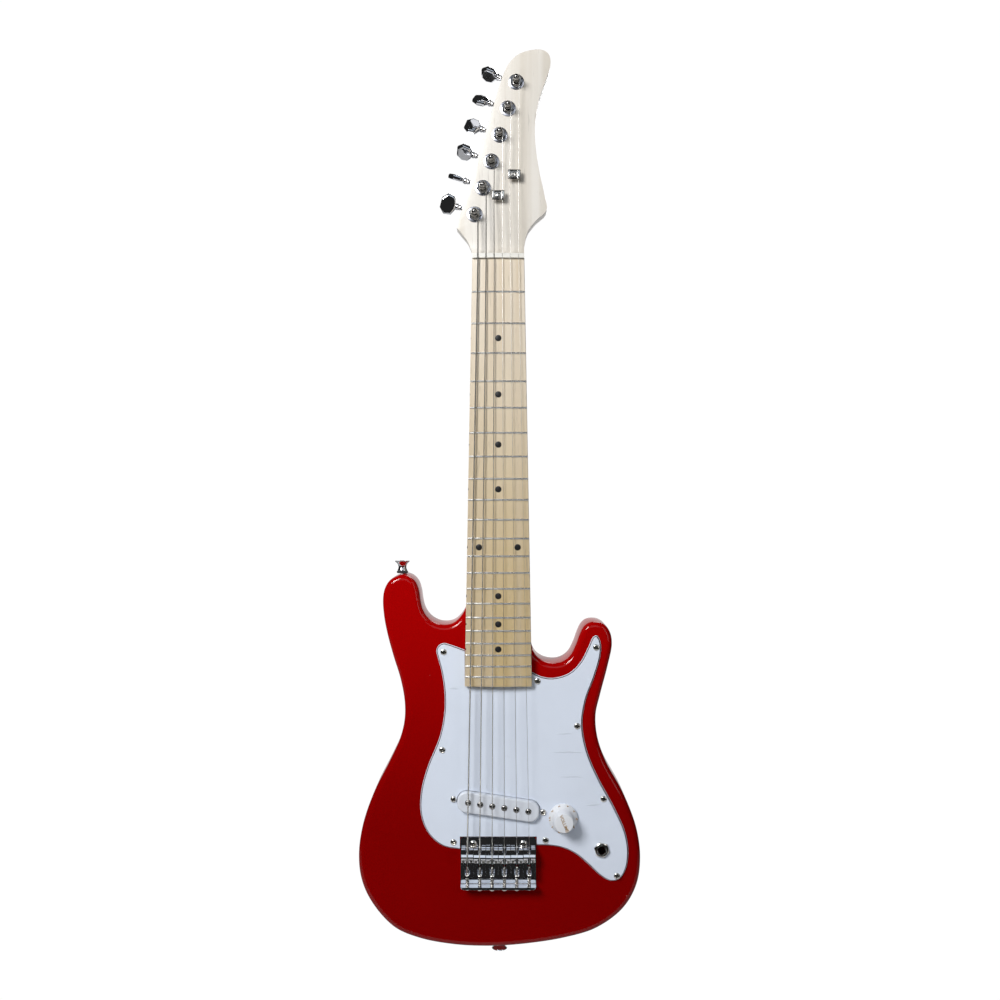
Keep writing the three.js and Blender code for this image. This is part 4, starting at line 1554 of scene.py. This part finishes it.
@dataclass
class Pickup:
    """The slanted pickup: cover, coil, pole pieces and height screws."""

    length: float = 71
    width: float = 17.8
    front: float = -7
    slant: float = 8.3
    spread: float = 52

    def lean(self) -> Matrix:
        """Returns the matrix that carries the pickup to its place.

        Returns:
            The matrix.
        """
        middle = (centre("pickup_height_screw_1") + centre("pickup_height_screw_2")) / 2
        turn = Matrix.Rotation(math.radians(self.slant), 4, "Y")
        return Matrix.Translation((0, 0, middle.z)) @ turn

    def screw_places(self) -> list[Vector]:
        """Returns where the height screws stand."""
        return [centre("pickup_height_screw_1"), centre("pickup_height_screw_2")]

    def build(self) -> None:
        """Makes the pickup's pieces."""
        xs = [(k / (STRING_COUNT - 1) - 0.5) * self.spread for k in range(STRING_COUNT)]
        outline = rounded_rectangle(self.length, self.width, self.width / 2 - 0.05)
        bends = [math.pi / 2 * k / 6 for k in range(7)]
        soft = 1.5
        edge = [(soft * (1 - math.sin(a)), self.front + soft * (1 - math.cos(a))) for a in bends]
        shell = stack(outline, [(soft * 1.4, self.front), *edge, (0, 3.6)])
        inside = slab(rounded_rectangle(self.length - 2.6, self.width - 2.6, self.width / 2 - 1.35),
                      self.front + 1.3, 6)
        holes = [slab(circle(2.7, 24), self.front - 1, 0).moved(x) for x in xs]
        cover = combined(shell, Blend.CUT, inside, *holes)
        make("pickup_cover_white", cover.placed(self.lean()), COVER_WHITE, "pickup", ["pickup_cover"])
        base = slab(rounded_rectangle(84, 24, 6), 4, 6.4, 0.3, 2)
        coil = slab(rounded_rectangle(64, 12, 5.95), self.front + 1.8, 4, 0.8, 3)
        make("pickup_coil", (base + coil).placed(self.lean()), COIL_TAPE, "pickup", ["pickup_bobbin"])
        pole = lathe([(0, -0.55), (1.2, -0.5), (2.1, -0.25), (2.45, 0.15), (2.45, 15), (0, 15)], 28)
        places = [self.lean() @ Vector((x, self.front - 0.35, 0)) for x in xs]
        COPIES.place("pole_pieces", pole, places, [FRONT] * STRING_COUNT, POLE_STEEL, "pickup")
        for k, spot in enumerate(self.screw_places(), 1):
            head = cross_head(2.7, 1.5).moved(0, -2.42, 0)
            shank = lathe([(0, -2.6), (1.3, -2.6), (1.4, 12.6), (0.9, 13.8), (0, 13.8)], 20)
            spin = Matrix.Translation((spot.x, 0, spot.z)) @ Matrix.Rotation(0.5 * k, 4, "Y")
            screw = (head + shank).placed(spin)
            node = f"pickup_height_screw_{k}"
            make(f"height_screw_{k}", screw, NICKEL, node, [node])


@dataclass
class VolumeControl:
    """The numbered volume knob, and the jack beside it."""

    numerals: int = 10
    step: float = 36
    first: float = -144
    top: float = -18.4

    def printed(self, name: str, text: str, size: float, place: Matrix) -> None:
        """Prints a short text on the knob.

        Args:
            name: the piece's name.
            text: what is printed.
            size: the letters' height in millimetres.
            place: carries the flat text, drawn in XY and read from +Z, to its place.
        """
        drawn = bpy.data.curves.new(name, "FONT")
        drawn.body = text
        drawn.size = size * 1.35
        drawn.align_x = "CENTER"
        drawn.align_y = "CENTER"
        drawn.extrude = 0.04
        drawn.offset = 0.07
        drawn.resolution_u = 2
        letters = bpy.data.objects.new(name, drawn)
        bpy.context.scene.collection.objects.link(letters)
        mesh = bpy.data.meshes.new_from_object(letters.evaluated_get(bpy.context.evaluated_depsgraph_get()))
        bpy.data.objects.remove(letters)
        bpy.data.curves.remove(drawn)
        mesh.transform(Matrix.Scale(MM, 4) @ place)
        mesh.materials.clear()
        mesh.materials.append(GOLD_PRINT.material())
        piece = bpy.data.objects.new(name, mesh)
        bpy.context.scene.collection.objects.link(piece)
        settle(piece, "volume_knob", (), 30)

    def knob(self) -> None:
        """Makes the knob with its skirt, and prints its scale."""
        spot = centre("volume_knob")
        crown = [(0, self.top + 0.06), (7.4, self.top + 0.06), (7.8, self.top + 0.16), (8.02, self.top + 0.4),
                 (8.1, self.top + 0.8)]
        flare = [(8.8 + 0.35 * k / 6 + 0.75 * (k / 6) ** 3, -10 + 3.4 * k / 6) for k in range(7)]
        skirt = [(10.6, -5.9), (12.1, -4.7), (12.45, -4.3), (12.5, -3.9), (12.5, -3.2), (12.3, -3), (8.4, -3)]
        hollow = [(7.2, -7.5), (3.2, -8), (3.2, -15.4), (0, -15.4)]
        body = lathe([*crown, *flare, *skirt, *hollow], 96).moved(spot.x, 0, spot.z)
        make("knob_white", body, KNOB_WHITE, "volume_knob", ["volume_knob"], angle=38)
        stand = Matrix.Rotation(math.pi / 2, 4, "X")
        for k in range(self.numerals):
            a = math.radians(self.first + self.step * k)
            out = Matrix.Rotation(-(a - math.pi / 2), 4, "Y")
            slope = Matrix.Rotation(math.radians(39), 4, "X")
            place = Matrix.Translation((spot.x, 0, spot.z)) @ out @ Matrix.Translation((0, -5.85, 11.0)) @ slope @ stand
            self.printed(f"numeral_{k + 1}", str(k + 1), 3.0, place)
        turn = Matrix.Rotation(math.radians(68), 4, "Y")
        place = Matrix.Translation((spot.x, self.top + 0.045, spot.z)) @ turn @ stand
        self.printed("volume_word", "VOLUME", 2.9, place)

    def jack(self) -> None:
        """Makes the jack's barrel with its bracket, washer and nut."""
        spot = centre("jack_nut")
        barrel = lathe([(3.3, -5.3), (3.6, -5.6), (4.1, -5.6), (4.3, -5.35), (4.3, 0.2), (8, 0.2), (8, 3), (3.3, 3)],
                       40, ring=True)
        bracket = block((5.6, 3.05, -4), (7, 24, 4))
        make("jack_barrel", (barrel + bracket).moved(spot.x, 0, spot.z), NICKEL, replaces=["output_jack"])
        nut = hexagon(11.6, -4.8, -2.9, 14, 4.4)
        make("jack_hex_nut", nut.moved(spot.x, 0, spot.z), NICKEL, replaces=["jack_nut"], angle=30)
        washer = lathe([(4.4, -2.9), (5.6, -2.9), (5.8, -2.75), (5.8, -2.2), (4.4, -2.2)], 48, ring=True)
        make("jack_washer", washer.moved(spot.x, 0, spot.z), NICKEL)

    def build(self) -> None:
        """Makes the knob and the jack."""
        self.knob()
        self.jack()


# ---------------------------------------------------------------- bridge


@dataclass
class Bridge:
    """The hardtail bridge: plate, six saddles, and their screws and springs."""

    half: float = 32.5
    front: float = -496
    back: float = -538
    lip: float = -11
    sheet: float = 2
    screw_x: float = 21.5
    screw_z: float = -502
    grub_x: float = 3.3
    grub_z: float = -514.2

    def plate(self) -> None:
        """Makes the bent plate and the two screws at its front."""
        floor_front, floor_back = -self.sheet - 0.2, -0.2
        bend = 2.4
        arcs = [math.pi / 2 * k / 6 for k in range(7)]
        outer = [(floor_back - bend * (1 - math.sin(a)), self.back + bend * (1 - math.cos(a))) for a in arcs]
        inner = [(floor_front - 0.6 * (1 - math.sin(a)), self.back + self.sheet + 0.6 * (1 - math.cos(a)))
                 for a in arcs]
        profile = [(floor_back, self.front), *reversed(outer), (self.lip, self.back),
                   (self.lip, self.back + self.sheet), *inner, (floor_front, self.front)]
        footprint = filleted([(self.half, self.back - 0.01), (self.half, self.front), (-self.half, self.front),
                              (-self.half, self.back - 0.01)], 3, 6)
        sheet = combined(across(profile, 2 * self.half), Blend.KEEP, slab(footprint, -15, 2))
        shoulders = filleted([(self.half, -11), (self.half, 5), (-self.half, 5), (-self.half, -11)], 2.2, 6)
        upright = slab(shoulders, -600, -400).placed(UPRIGHT)
        sheet = combined(sheet, Blend.KEEP, upright)
        slots = []
        for i in range(STRING_COUNT):
            spot = centre(f"saddle_{i + 1}")
            slots.append(slab(circle(1.3, 16, spot.x, STRINGS.hole_z), -4, 1))
        plate = eased(combined(sheet, Blend.CUT, *slots), 0.35, 2, 40)
        make("bridge_plate_chrome", plate, CHROME, replaces=["bridge_plate"], crisp=True)
        places = [Vector((x, floor_front + 0.03, self.screw_z)) for x in (-self.screw_x, self.screw_x)]
        COPIES.place("bridge_screws", cross_head(3.4, 1.9), places, [FRONT] * 2, NICKEL, spin=1.5, seed=3)

    def saddle_shape(self) -> Solid:
        """Builds a saddle bent from sheet, about its own string's line.

        Returns:
            The saddle.
        """
        crest = smooth_line((
            (-10.3, -515.6), (-10.9, -513.9), (-12.5, -512.2), (-13.1, -511.3), (-13.15, -510.6), (-12.9, -509.7),
            (-12.1, -508.2), (-10.4, -506), (-8, -504.3), (-5.6, -503.7), (-4.2, -503.7)), 30)
        under = smooth_line((
            (-4.2, -505.2), (-5.6, -505.2), (-7.4, -505.7), (-9.2, -507), (-10.6, -508.9), (-11.3, -510.2),
            (-11.2, -511), (-10, -512.4), (-9, -513.9), (-8.7, -515.4)), 24)
        back = ((-8.7, -527.2), (-8.3, -527.5), (-4, -527.5), (-4, -529), (-9.6, -529), (-10.2, -528.4))
        sheet = across([*(tuple(p) for p in [*crest, *under]), *back], 10)
        slot = slab(rounded_rectangle(4.4, 10.6, 2.15, 0, -521.6), -15, -5)
        neck = slab(rounded_rectangle(2.4, 8.6, 1.1, 0, -515), -15, -6)
        fork = slab(rounded_rectangle(3.4, 8.6, 1.6, 0, -503.2), -15, 0)
        screw = slab(circle(1.7, 16), -531, -525).placed(Matrix.Rotation(math.pi / 2, 4, "X"))
        screw_hole = screw.moved(0, -6.5, 0)
        return eased(combined(sheet, Blend.CUT, slot, neck, fork, screw_hole), 0.4, 3, 40)

    def grub(self) -> Solid:
        """Builds a hexagon-socket grub screw, its top on Y = 0."""
        rod = lathe([(0, 0), (1.0, 0), (1.25, 0.25), (1.25, 9), (0.9, 9.4), (0, 9.4)], 20)
        return combined(rod, Blend.CUT, slab(circle(0.62, 6), -1, 1.4))

    def saddles(self) -> None:
        """Makes each saddle with its grub screws, intonation screw and spring."""
        shape = self.saddle_shape()
        grub = self.grub()
        head = cross_head(2.75, 2.3, 20).placed(Matrix.Rotation(math.pi / 2, 4, "X"))
        for i in range(STRING_COUNT):
            k = i + 1
            line = centre(f"intonation_screw_{k}")
            drop = line.y + 6.5
            make(f"saddle_steel_{k}", shape.moved(line.x, drop, 0), CHROME, f"saddle_{k}", [f"saddle_{k}"], 32, True)
            tops = [Vector((line.x + side * self.grub_x, -11.7 + drop, self.grub_z)) for side in (-1, 1)]
            COPIES.place(f"grub_screws_{k}", grub, tops, [FRONT] * 2, NICKEL, f"saddle_{k}")
            shank = lathe([(0, -0.1), (0.95, -0.1), (0.95, 17.5), (0.6, 18), (0, 18)], 16)
            lay = Matrix.Translation((line.x, line.y, self.back - 0.3)) @ Matrix.Rotation(0.7 * i, 4, "Z")
            screw = (head + shank.placed(Matrix.Rotation(math.pi / 2, 4, "X"))).placed(lay)
            node = f"intonation_screw_{k}"
            make(f"length_screw_{k}", screw, NICKEL, node, [node])
            self.spring(k, line)

    def spring(self, k: int, line: Vector) -> None:
        """Winds the spring between the lip and a saddle.

        Args:
            k: the saddle's number.
            line: its screw's middle line.
        """
        start, end = self.back + self.sheet + 0.3, -529.4
        place = Matrix.Translation((line.x, line.y, start))
        coil = COIL.wind(f"saddle_spring_{k}", 7.5, 1.25, end - start, 0.24, place, NICKEL)
        mesh = coil.data
        mesh.polygons.foreach_set("use_smooth", [True] * len(mesh.polygons))
        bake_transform(coil)

    def build(self) -> None:
        """Makes the whole bridge."""
        self.plate()
        self.saddles()


# ---------------------------------------------------------------- tuners, strings and strap buttons


def tuner_places() -> list[Vector]:
    """Returns the posts' positions in the headstock's plane."""
    return [joint_place(f"tuner_post_{k}_turn") for k in range(1, STRING_COUNT + 1)]


@dataclass
class Tuners:
    """Six tuners in a row: posts, bushes, washers, buttons and housings."""

    tilt: float = 16.8
    face: float = -2
    tip: float = -15
    waist: float = 2.3
    worm_out: float = 7
    worm_y: float = 16.6
    teeth: int = 15
    rolls: tuple[float, ...] = (14, 103, 68, -33, -50, 79)

    def frame_at(self, spot: Vector) -> Matrix:
        """Returns the matrix from a tuner's own axes to the guitar's."""
        return Matrix.Translation((spot.x, 0, spot.z)) @ Matrix.Rotation(math.radians(self.tilt), 4, "Y")

    def post(self) -> Solid:
        """Builds a post with its domed tip, waist, string hole and gear.

        Returns:
            The post.
        """
        dome = [(2.6 * math.sin(a), self.tip + 3.1 * (1 - math.cos(a)))
                for a in (math.pi / 2 * k / 7 for k in range(8))]
        shaft = [(2.6, -11.6), (2.55, -11.4), (self.waist + 0.05, -10.6), (self.waist, -10.2), (self.waist, -6.2),
                 (2.6, -5.6), (3, -5.2), (3, 13.9), (2.6, 14.3), (2.6, 19.6), (0, 19.6)]
        turned = lathe([*dome, *shaft], 28)
        hole = slab(circle(0.75, 12, 0, 0), -5, 5).placed(Matrix.Rotation(math.pi / 2, 4, "Z"))
        drilled = combined(turned, Blend.CUT, hole.moved(0, -9, 0))
        rim = []
        for k in range(self.teeth * 4):
            a = 2 * math.pi * (k + 0.5) / (self.teeth * 4)
            r = 4.5 if k % 4 in (0, 1) else 3.7
            rim.append(Vector((r * math.cos(a), r * math.sin(a))))
        gear = combined(slab(rim, 14.5, 18.8), Blend.CUT, slab(circle(2.5, 28), 10, 20))
        return drilled + gear

    def button(self, roll: float) -> Solid:
        """Builds a worm shaft with its collar and eight-sided button, turned by roll degrees.

        Args:
            roll: its turn in degrees.

        Returns:
            The button, in the tuner's own axes.
        """
        half = [(2.6, -19.6), (8, -22.4), (9.1, -28.8), (4.4, -33.6)]
        corners = [(length, wide) for wide, length in half] + [(length, -wide) for wide, length in reversed(half)]
        head = slab([Vector(c) for c in corners], -2.4, 2.4, 1.7, 3)
        profile = [(0, -21), (2.0, -21), (2.3, -19.8), (2.9, -19.2), (3.0, -18.4), (2.9, -17.6), (2.4, -17.2),
                   (2.2, -16.6), (2.5, -16.2), (2.5, -15.6), (1.9, -15.3), (1.9, -6.6), (2.3, -6.2), (2.3, 4), (0, 4)]
        shaft = lathe(profile, 24).placed(Matrix.Rotation(-math.pi / 2, 4, "Z"))
        turn = Matrix.Rotation(math.radians(roll), 4, "X")
        return (shaft + head).placed(turn).moved(0, self.worm_y, self.worm_out)

    def housing(self) -> Solid:
        """Builds a die-cast housing, in the tuner's own axes.

        Returns:
            The housing.
        """
        shell = slab(rounded_rectangle(19, 19.4, 3, -1.5, 2.2), 12.3, 21.6, 1.4, 5)
        cavity = slab(rounded_rectangle(15, 15.6, 1.5, -1.5, 2.2), 11, 20.2)
        bore = slab(circle(2.2, 20), -16, 0).placed(Matrix.Rotation(-math.pi / 2, 4, "Z"))
        cast = combined(shell, Blend.CUT, cavity, bore.moved(0, self.worm_y, self.worm_out))
        collar = lathe([(2.25, -13.2), (3.4, -13.2), (3.6, -12.9), (3.6, -10.9), (2.25, -10.9)], 28, ring=True)
        laid = collar.placed(Matrix.Rotation(-math.pi / 2, 4, "Z"))
        return cast + laid.moved(0, self.worm_y, self.worm_out)

    def build(self) -> None:
        """Makes every tuner's pieces."""
        places = tuner_places()
        facings = [FRONT] * STRING_COUNT
        lean = Matrix.Rotation(math.radians(self.tilt), 4, "Y")
        housings = [f"tuner_housing_{k}" for k in range(1, STRING_COUNT + 1)]
        base = [Vector((p.x, 0, p.z)) for p in places]
        COPIES.place("tuner_housings", self.housing().placed(lean), base, facings, CHROME, replaces=housings)
        plug = cross_head(2.2, 0.8)
        caps = [self.frame_at(p) @ Vector((0, 21.5, 0)) for p in places]
        COPIES.place("gear_screws", plug, caps, [BACK] * STRING_COUNT, NICKEL, spin=1.5, seed=9)
        washer = lathe([(3.4, -0.9), (6.2, -0.9), (6.8, -0.5), (6.8, 0), (3.4, 0)], 40, ring=True)
        bush = hexagon(9.6, -3.1, -0.9, 20, 3.15)
        barrel = lathe([(3.12, -3.9), (3.9, -3.9), (4.2, -3.6), (4.2, -3.1), (3.12, -3.1)], 32, ring=True)
        rest = [Vector((p.x, self.face, p.z)) for p in places]
        COPIES.place("tuner_washers", washer, rest, facings, BLUISH_LIT_WASHER)
        COPIES.place("tuner_bushes", bush + barrel, rest, facings, SHADED_POST_STEEL, spin=0.5, seed=5)
        post = self.post()
        for i, spot in enumerate(places):
            k = i + 1
            make(f"post_{k}", post.moved(spot.x, 0, spot.z), SHADED_POST_STEEL, f"tuner_post_{k}", [f"tuner_post_{k}"],
                 angle=40)
            button = self.button(self.rolls[i]).placed(self.frame_at(spot))
            make(f"button_{k}", button, CHROME, f"tuner_button_{k}", [f"tuner_button_{k}"], 30, True)


@dataclass
class StringSet:
    """The six strings, from their ball ends to their turns on the posts."""

    radii: tuple[float, ...] = (0.58, 0.46, 0.34, 0.22, 0.18, 0.15)
    spread_at_nut: float = 34.6
    base_at_nut: float = -11
    base_at_saddle: float = -13.2
    board_radius: float = 241
    hole_z: float = -520.5
    crest_z: float = -511.9
    post_y: float = -7.6
    trees: tuple[Pair, ...] = ((0, 54.6), (13.6, 72.4))
    tree_side: float = 3.7

    def nut_x(self, i: int) -> float:
        """Returns where string i crosses the nut."""
        return (i / (STRING_COUNT - 1) - 0.5) * self.spread_at_nut

    def nut_y(self, i: int) -> float:
        """Returns how far forward string i runs at the nut."""
        return self.base_at_nut + self.nut_x(i) ** 2 / (2 * self.board_radius) - self.radii[i]

    def body_holes(self) -> list[Vector]:
        """Returns where the strings go through the body."""
        return [Vector((centre(f"saddle_{k}").x, 0, self.hole_z)) for k in range(1, STRING_COUNT + 1)]

    def route(self, i: int, post: Vector) -> list[Vector]:
        """Draws string i's route.

        Args:
            i: the string's number from the bass side, from 0.
            post: its tuning post.

        Returns:
            The route's points.
        """
        r = self.radii[i]
        bx = centre(f"saddle_{i + 1}").x
        drop = bx * bx / (2 * self.board_radius)
        crest = self.base_at_saddle + drop - r
        points = [
            (bx, 33, self.hole_z), (bx, -2.4, self.hole_z), (bx, -9.2 + drop, -516.6), (bx, crest + 0.35, -513.1),
            (bx, crest, self.crest_z), (self.nut_x(i), self.nut_y(i), 2),
        ]
        if i >= 2:
            tree = self.trees[i // 2 - 1]
            side = self.tree_side if i % 2 else -self.tree_side
            points.append((tree[0] + side, -6.4 + r, tree[1]))
        points.append((post.x + 2.35 + r, self.post_y, post.z))
        return softened([Vector(p) for p in points], 1.2)

    def build(self) -> None:
        """Makes the strings, their ball ends and their turns on the posts."""
        for i, post in enumerate(tuner_places()):
            k = i + 1
            r = self.radii[i]
            finish = WOUND if i < 3 else PLAIN
            line = tube(self.route(i, post), r, 14)
            ball = lathe([(0, 33), (1.4, 33.1), (1.7, 34), (1.7, 36), (1.4, 36.9), (0, 37)], 20)
            hole = self.body_holes()[i]
            make(f"string_wire_{k}", line + ball.moved(hole.x, 0, hole.z), finish, replaces=[f"string_{k}"])
            turns = min(4.0, 2.6 / (2.1 * r))
            place = Matrix.Translation((post.x, self.post_y, post.z)) @ Matrix.Rotation(math.pi / 2, 4, "X")
            coil = COIL.wind(f"string_turns_{k}", turns, 2.35 + r, turns * 2.1 * r, r, place, SHADED_STRING_TURNS)
            settle(coil, f"tuner_post_{k}", (), 60)

    def tree_guides(self) -> None:
        """Makes the two string trees and their screws."""
        profile = [Vector(p) for p in (
            (-5.4, -5.9), (-5.4, -7.3), (-5, -7.8), (-3.5, -7.8), (-3.05, -7.3), (-3.05, -6.6), (3.05, -6.6),
            (3.05, -7.3), (3.5, -7.8), (5, -7.8), (5.4, -7.3), (5.4, -5.9), (4.95, -5.9), (4.95, -7.25),
            (3.5, -7.25), (3.5, -6.1), (-3.5, -6.1), (-3.5, -7.25), (-4.95, -7.25), (-4.95, -5.9))]
        turn = UPRIGHT
        sheet = slab(profile, -3.9, 3.9).placed(turn)
        post = lathe([(0, -6.3), (2, -6.3), (2, -2.3), (0, -2.3)], 24)
        bent = eased(sheet, 0.2, 2, 50)
        for k, (x, z) in enumerate(self.trees, 1):
            make(f"tree_{k}", (bent + post).moved(x, 0, z), NICKEL, replaces=[f"string_tree_{k}"])
        places = [Vector((x, -6.5, z)) for x, z in self.trees]
        COPIES.place("tree_screws", cross_head(2.15, 1.25), places, [FRONT] * 2, NICKEL, spin=1.5, seed=2)


STRINGS = StringSet()


@dataclass
class StrapButtons:
    """The two strap buttons and the felt under the upper one."""

    profile: tuple[Pair, ...] = (
        (0, 9), (2.2, 9), (2.6, 8.6), (5.8, 8.9), (6.6, 8.8), (6.9, 8.4), (6.7, 7.9), (5.2, 6.6), (4.1, 5.2),
        (3.65, 3.8), (3.6, 2.8), (3.9, 1.6), (4.3, 0.9), (4.3, 0.1), (4.1, 0), (0, 0))

    def build(self) -> None:
        """Makes the buttons, their screws and the felt."""
        upright = Matrix.Rotation(math.pi / 2, 4, "X")
        turned = lathe(self.profile, 48).placed(upright)
        for name, side in (("strap_button_horn", 1), ("strap_button_tail", -1)):
            low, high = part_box(name)
            spot = centre(name)
            base = (low[2] if side > 0 else high[2]) / MM
            flip = Matrix.Identity(4) if side > 0 else Matrix.Rotation(math.pi, 4, "Y")
            place = Matrix.Translation((spot.x, spot.y, base)) @ flip
            make(f"{name}_chrome", turned.placed(place), CHROME, replaces=[name])
            way = Vector((0, 0, side))
            head = cross_head(3.2, 0.9)
            at = Vector((spot.x, spot.y, base + side * 8.05))
            COPIES.place(f"{name}_screw", head, [at], [way], NICKEL, spin=1.0, seed=6 + side)
        felt = centre("strap_felt")
        disc = [(0, -1), (4.6, -1), (4.95, -0.7), (5, 0), (4.95, 0.7), (4.6, 1), (0, 1)]
        make("felt_washer", lathe(disc, 48).placed(upright).moved(*felt), BLACK_FELT, replaces=["strap_felt"])


# ---------------------------------------------------------------- studio


@dataclass
class Studio:
    """The floor, the lights, the world and the camera."""

    lens: float = 35
    eye: tuple[float, float, float] = (0.00145, -0.838, -0.2061)
    floor_z: float = -1.2
    floor_edges: tuple[float, float, float, float] = (-2.5, 2.5, -1.0, 1.05)
    behind: tuple[float, float, float, float] = (0.72, 0.8, 0.018, 1.02)

    def floor(self) -> None:
        """Lays a plain pale floor a little below the guitar."""
        mesh = bpy.data.meshes.new("floor")
        left, right, near, far = self.floor_edges
        corners = ((left, near), (right, near), (right, far), (left, far))
        mesh.from_pydata([(x, y, self.floor_z) for x, y in corners], [], [(0, 1, 2, 3)])
        floor = bpy.data.objects.new("floor", mesh)
        paint = bpy.data.materials.new("floor_paint")
        paint.use_nodes = True
        main = next(n for n in paint.node_tree.nodes if n.type == "BSDF_PRINCIPLED")
        main.inputs["Base Color"].default_value = (0.9, 0.9, 0.9, 1)
        main.inputs["Roughness"].default_value = 0.9
        mesh.materials.append(paint)
        bpy.context.scene.collection.objects.link(floor)

    def light(
        self, name: str, place: Sequence[float], aim: Sequence[float], size: Pair, power: float,
        tint: Sequence[float] = (1, 1, 1)
    ) -> None:
        """Hangs a soft rectangular light.

        Args:
            name: the light's name.
            place: where it hangs, in metres.
            aim: the point it faces.
            size: its width and height.
            power: its power in watts.
            tint: its colour.
        """
        lamp = bpy.data.lights.new(name, "AREA")
        lamp.shape = "RECTANGLE"
        lamp.size, lamp.size_y = size
        lamp.energy = power
        lamp.color = tint
        hung = bpy.data.objects.new(name, lamp)
        hung.location = place
        hung.rotation_euler = (Vector(aim) - Vector(place)).to_track_quat("-Z", "Y").to_euler()
        bpy.context.scene.collection.objects.link(hung)

    def world(self) -> None:
        """Makes the surroundings: white behind the guitar and dim everywhere else."""
        world = bpy.data.worlds.new("studio")
        world.use_nodes = True
        tree = world.node_tree
        ground = next(n for n in tree.nodes if n.type == "BACKGROUND")
        way = tree.nodes.new("ShaderNodeTexCoord").outputs["Generated"]
        parts = tree.nodes.new("ShaderNodeSeparateXYZ")
        tree.links.new(way, parts.inputs[0])
        ramp = tree.nodes.new("ShaderNodeMapRange")
        ramp.interpolation_type = "SMOOTHSTEP"
        for name, value in zip(("From Min", "From Max", "To Min", "To Max"), self.behind):
            ramp.inputs[name].default_value = value
        tree.links.new(parts.outputs[1], ramp.inputs["Value"])
        tree.links.new(ramp.outputs[0], ground.inputs["Strength"])
        ground.inputs["Color"].default_value = (1, 1, 1, 1)
        bpy.context.scene.world = world

    def camera(self) -> None:
        """Stands the camera level in front of the guitar."""
        data = bpy.data.cameras.new("camera")
        data.lens = self.lens
        data.sensor_width = 36
        data.clip_start = 0.01
        shot = bpy.data.objects.new("camera", data)
        shot.location = self.eye
        shot.rotation_euler = (math.pi / 2, 0, 0)
        bpy.context.scene.collection.objects.link(shot)
        bpy.context.scene.camera = shot

    def build(self) -> None:
        """Sets up the studio."""
        self.floor()
        self.world()
        self.camera()
        self.light("key", (-0.7, -1.05, 0.45), (0.0, 0.0, -0.25), (0.5, 0.5), 20)
        self.light("fill", (1.1, -1.1, 0.1), (0.0, 0.0, -0.3), (0.4, 1.2), 2.6)
        self.light("window", (0.0, -2.5, 1.05), (0.0, 0.0, 0.1), (1.8, 1.5), 7, (0.82, 0.9, 1.0))
        self.light("rear", (0.5, 1.4, 1.0), (0.0, 0.0, -0.3), (0.8, 0.8), 10)
        view = bpy.context.scene.view_settings
        view.view_transform = "Standard"
        view.look = "None"


def dress_frame() -> None:
    """Gives the CAD nodes that stay in sight their finish."""
    slots = {part["node"]: part["material_slot"] for part in frame["record"]["subparts"]}
    for name, node in frame["nodes"].items():
        finish = SLOT_FINISHES[slots[name]]
        for place in node.material_slots:
            place.material = finish.material()


def write_sizes() -> None:
    """Updates the view layer."""
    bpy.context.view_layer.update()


def main() -> None:
    """Builds every sub-assembly in order."""
    logging.basicConfig(level=logging.INFO, format="%(message)s")
    Studio().build()
    dress_frame()
    neck, pickup = Neck(), Pickup()
    GuitarBody().build(neck, pickup)
    neck.build()
    Pickguard().build(pickup)
    pickup.build()
    VolumeControl().build()
    Bridge().build()
    Tuners().build()
    STRINGS.build()
    STRINGS.tree_guides()
    StrapButtons().build()
    write_sizes()


if __name__ == "__main__":
    main()
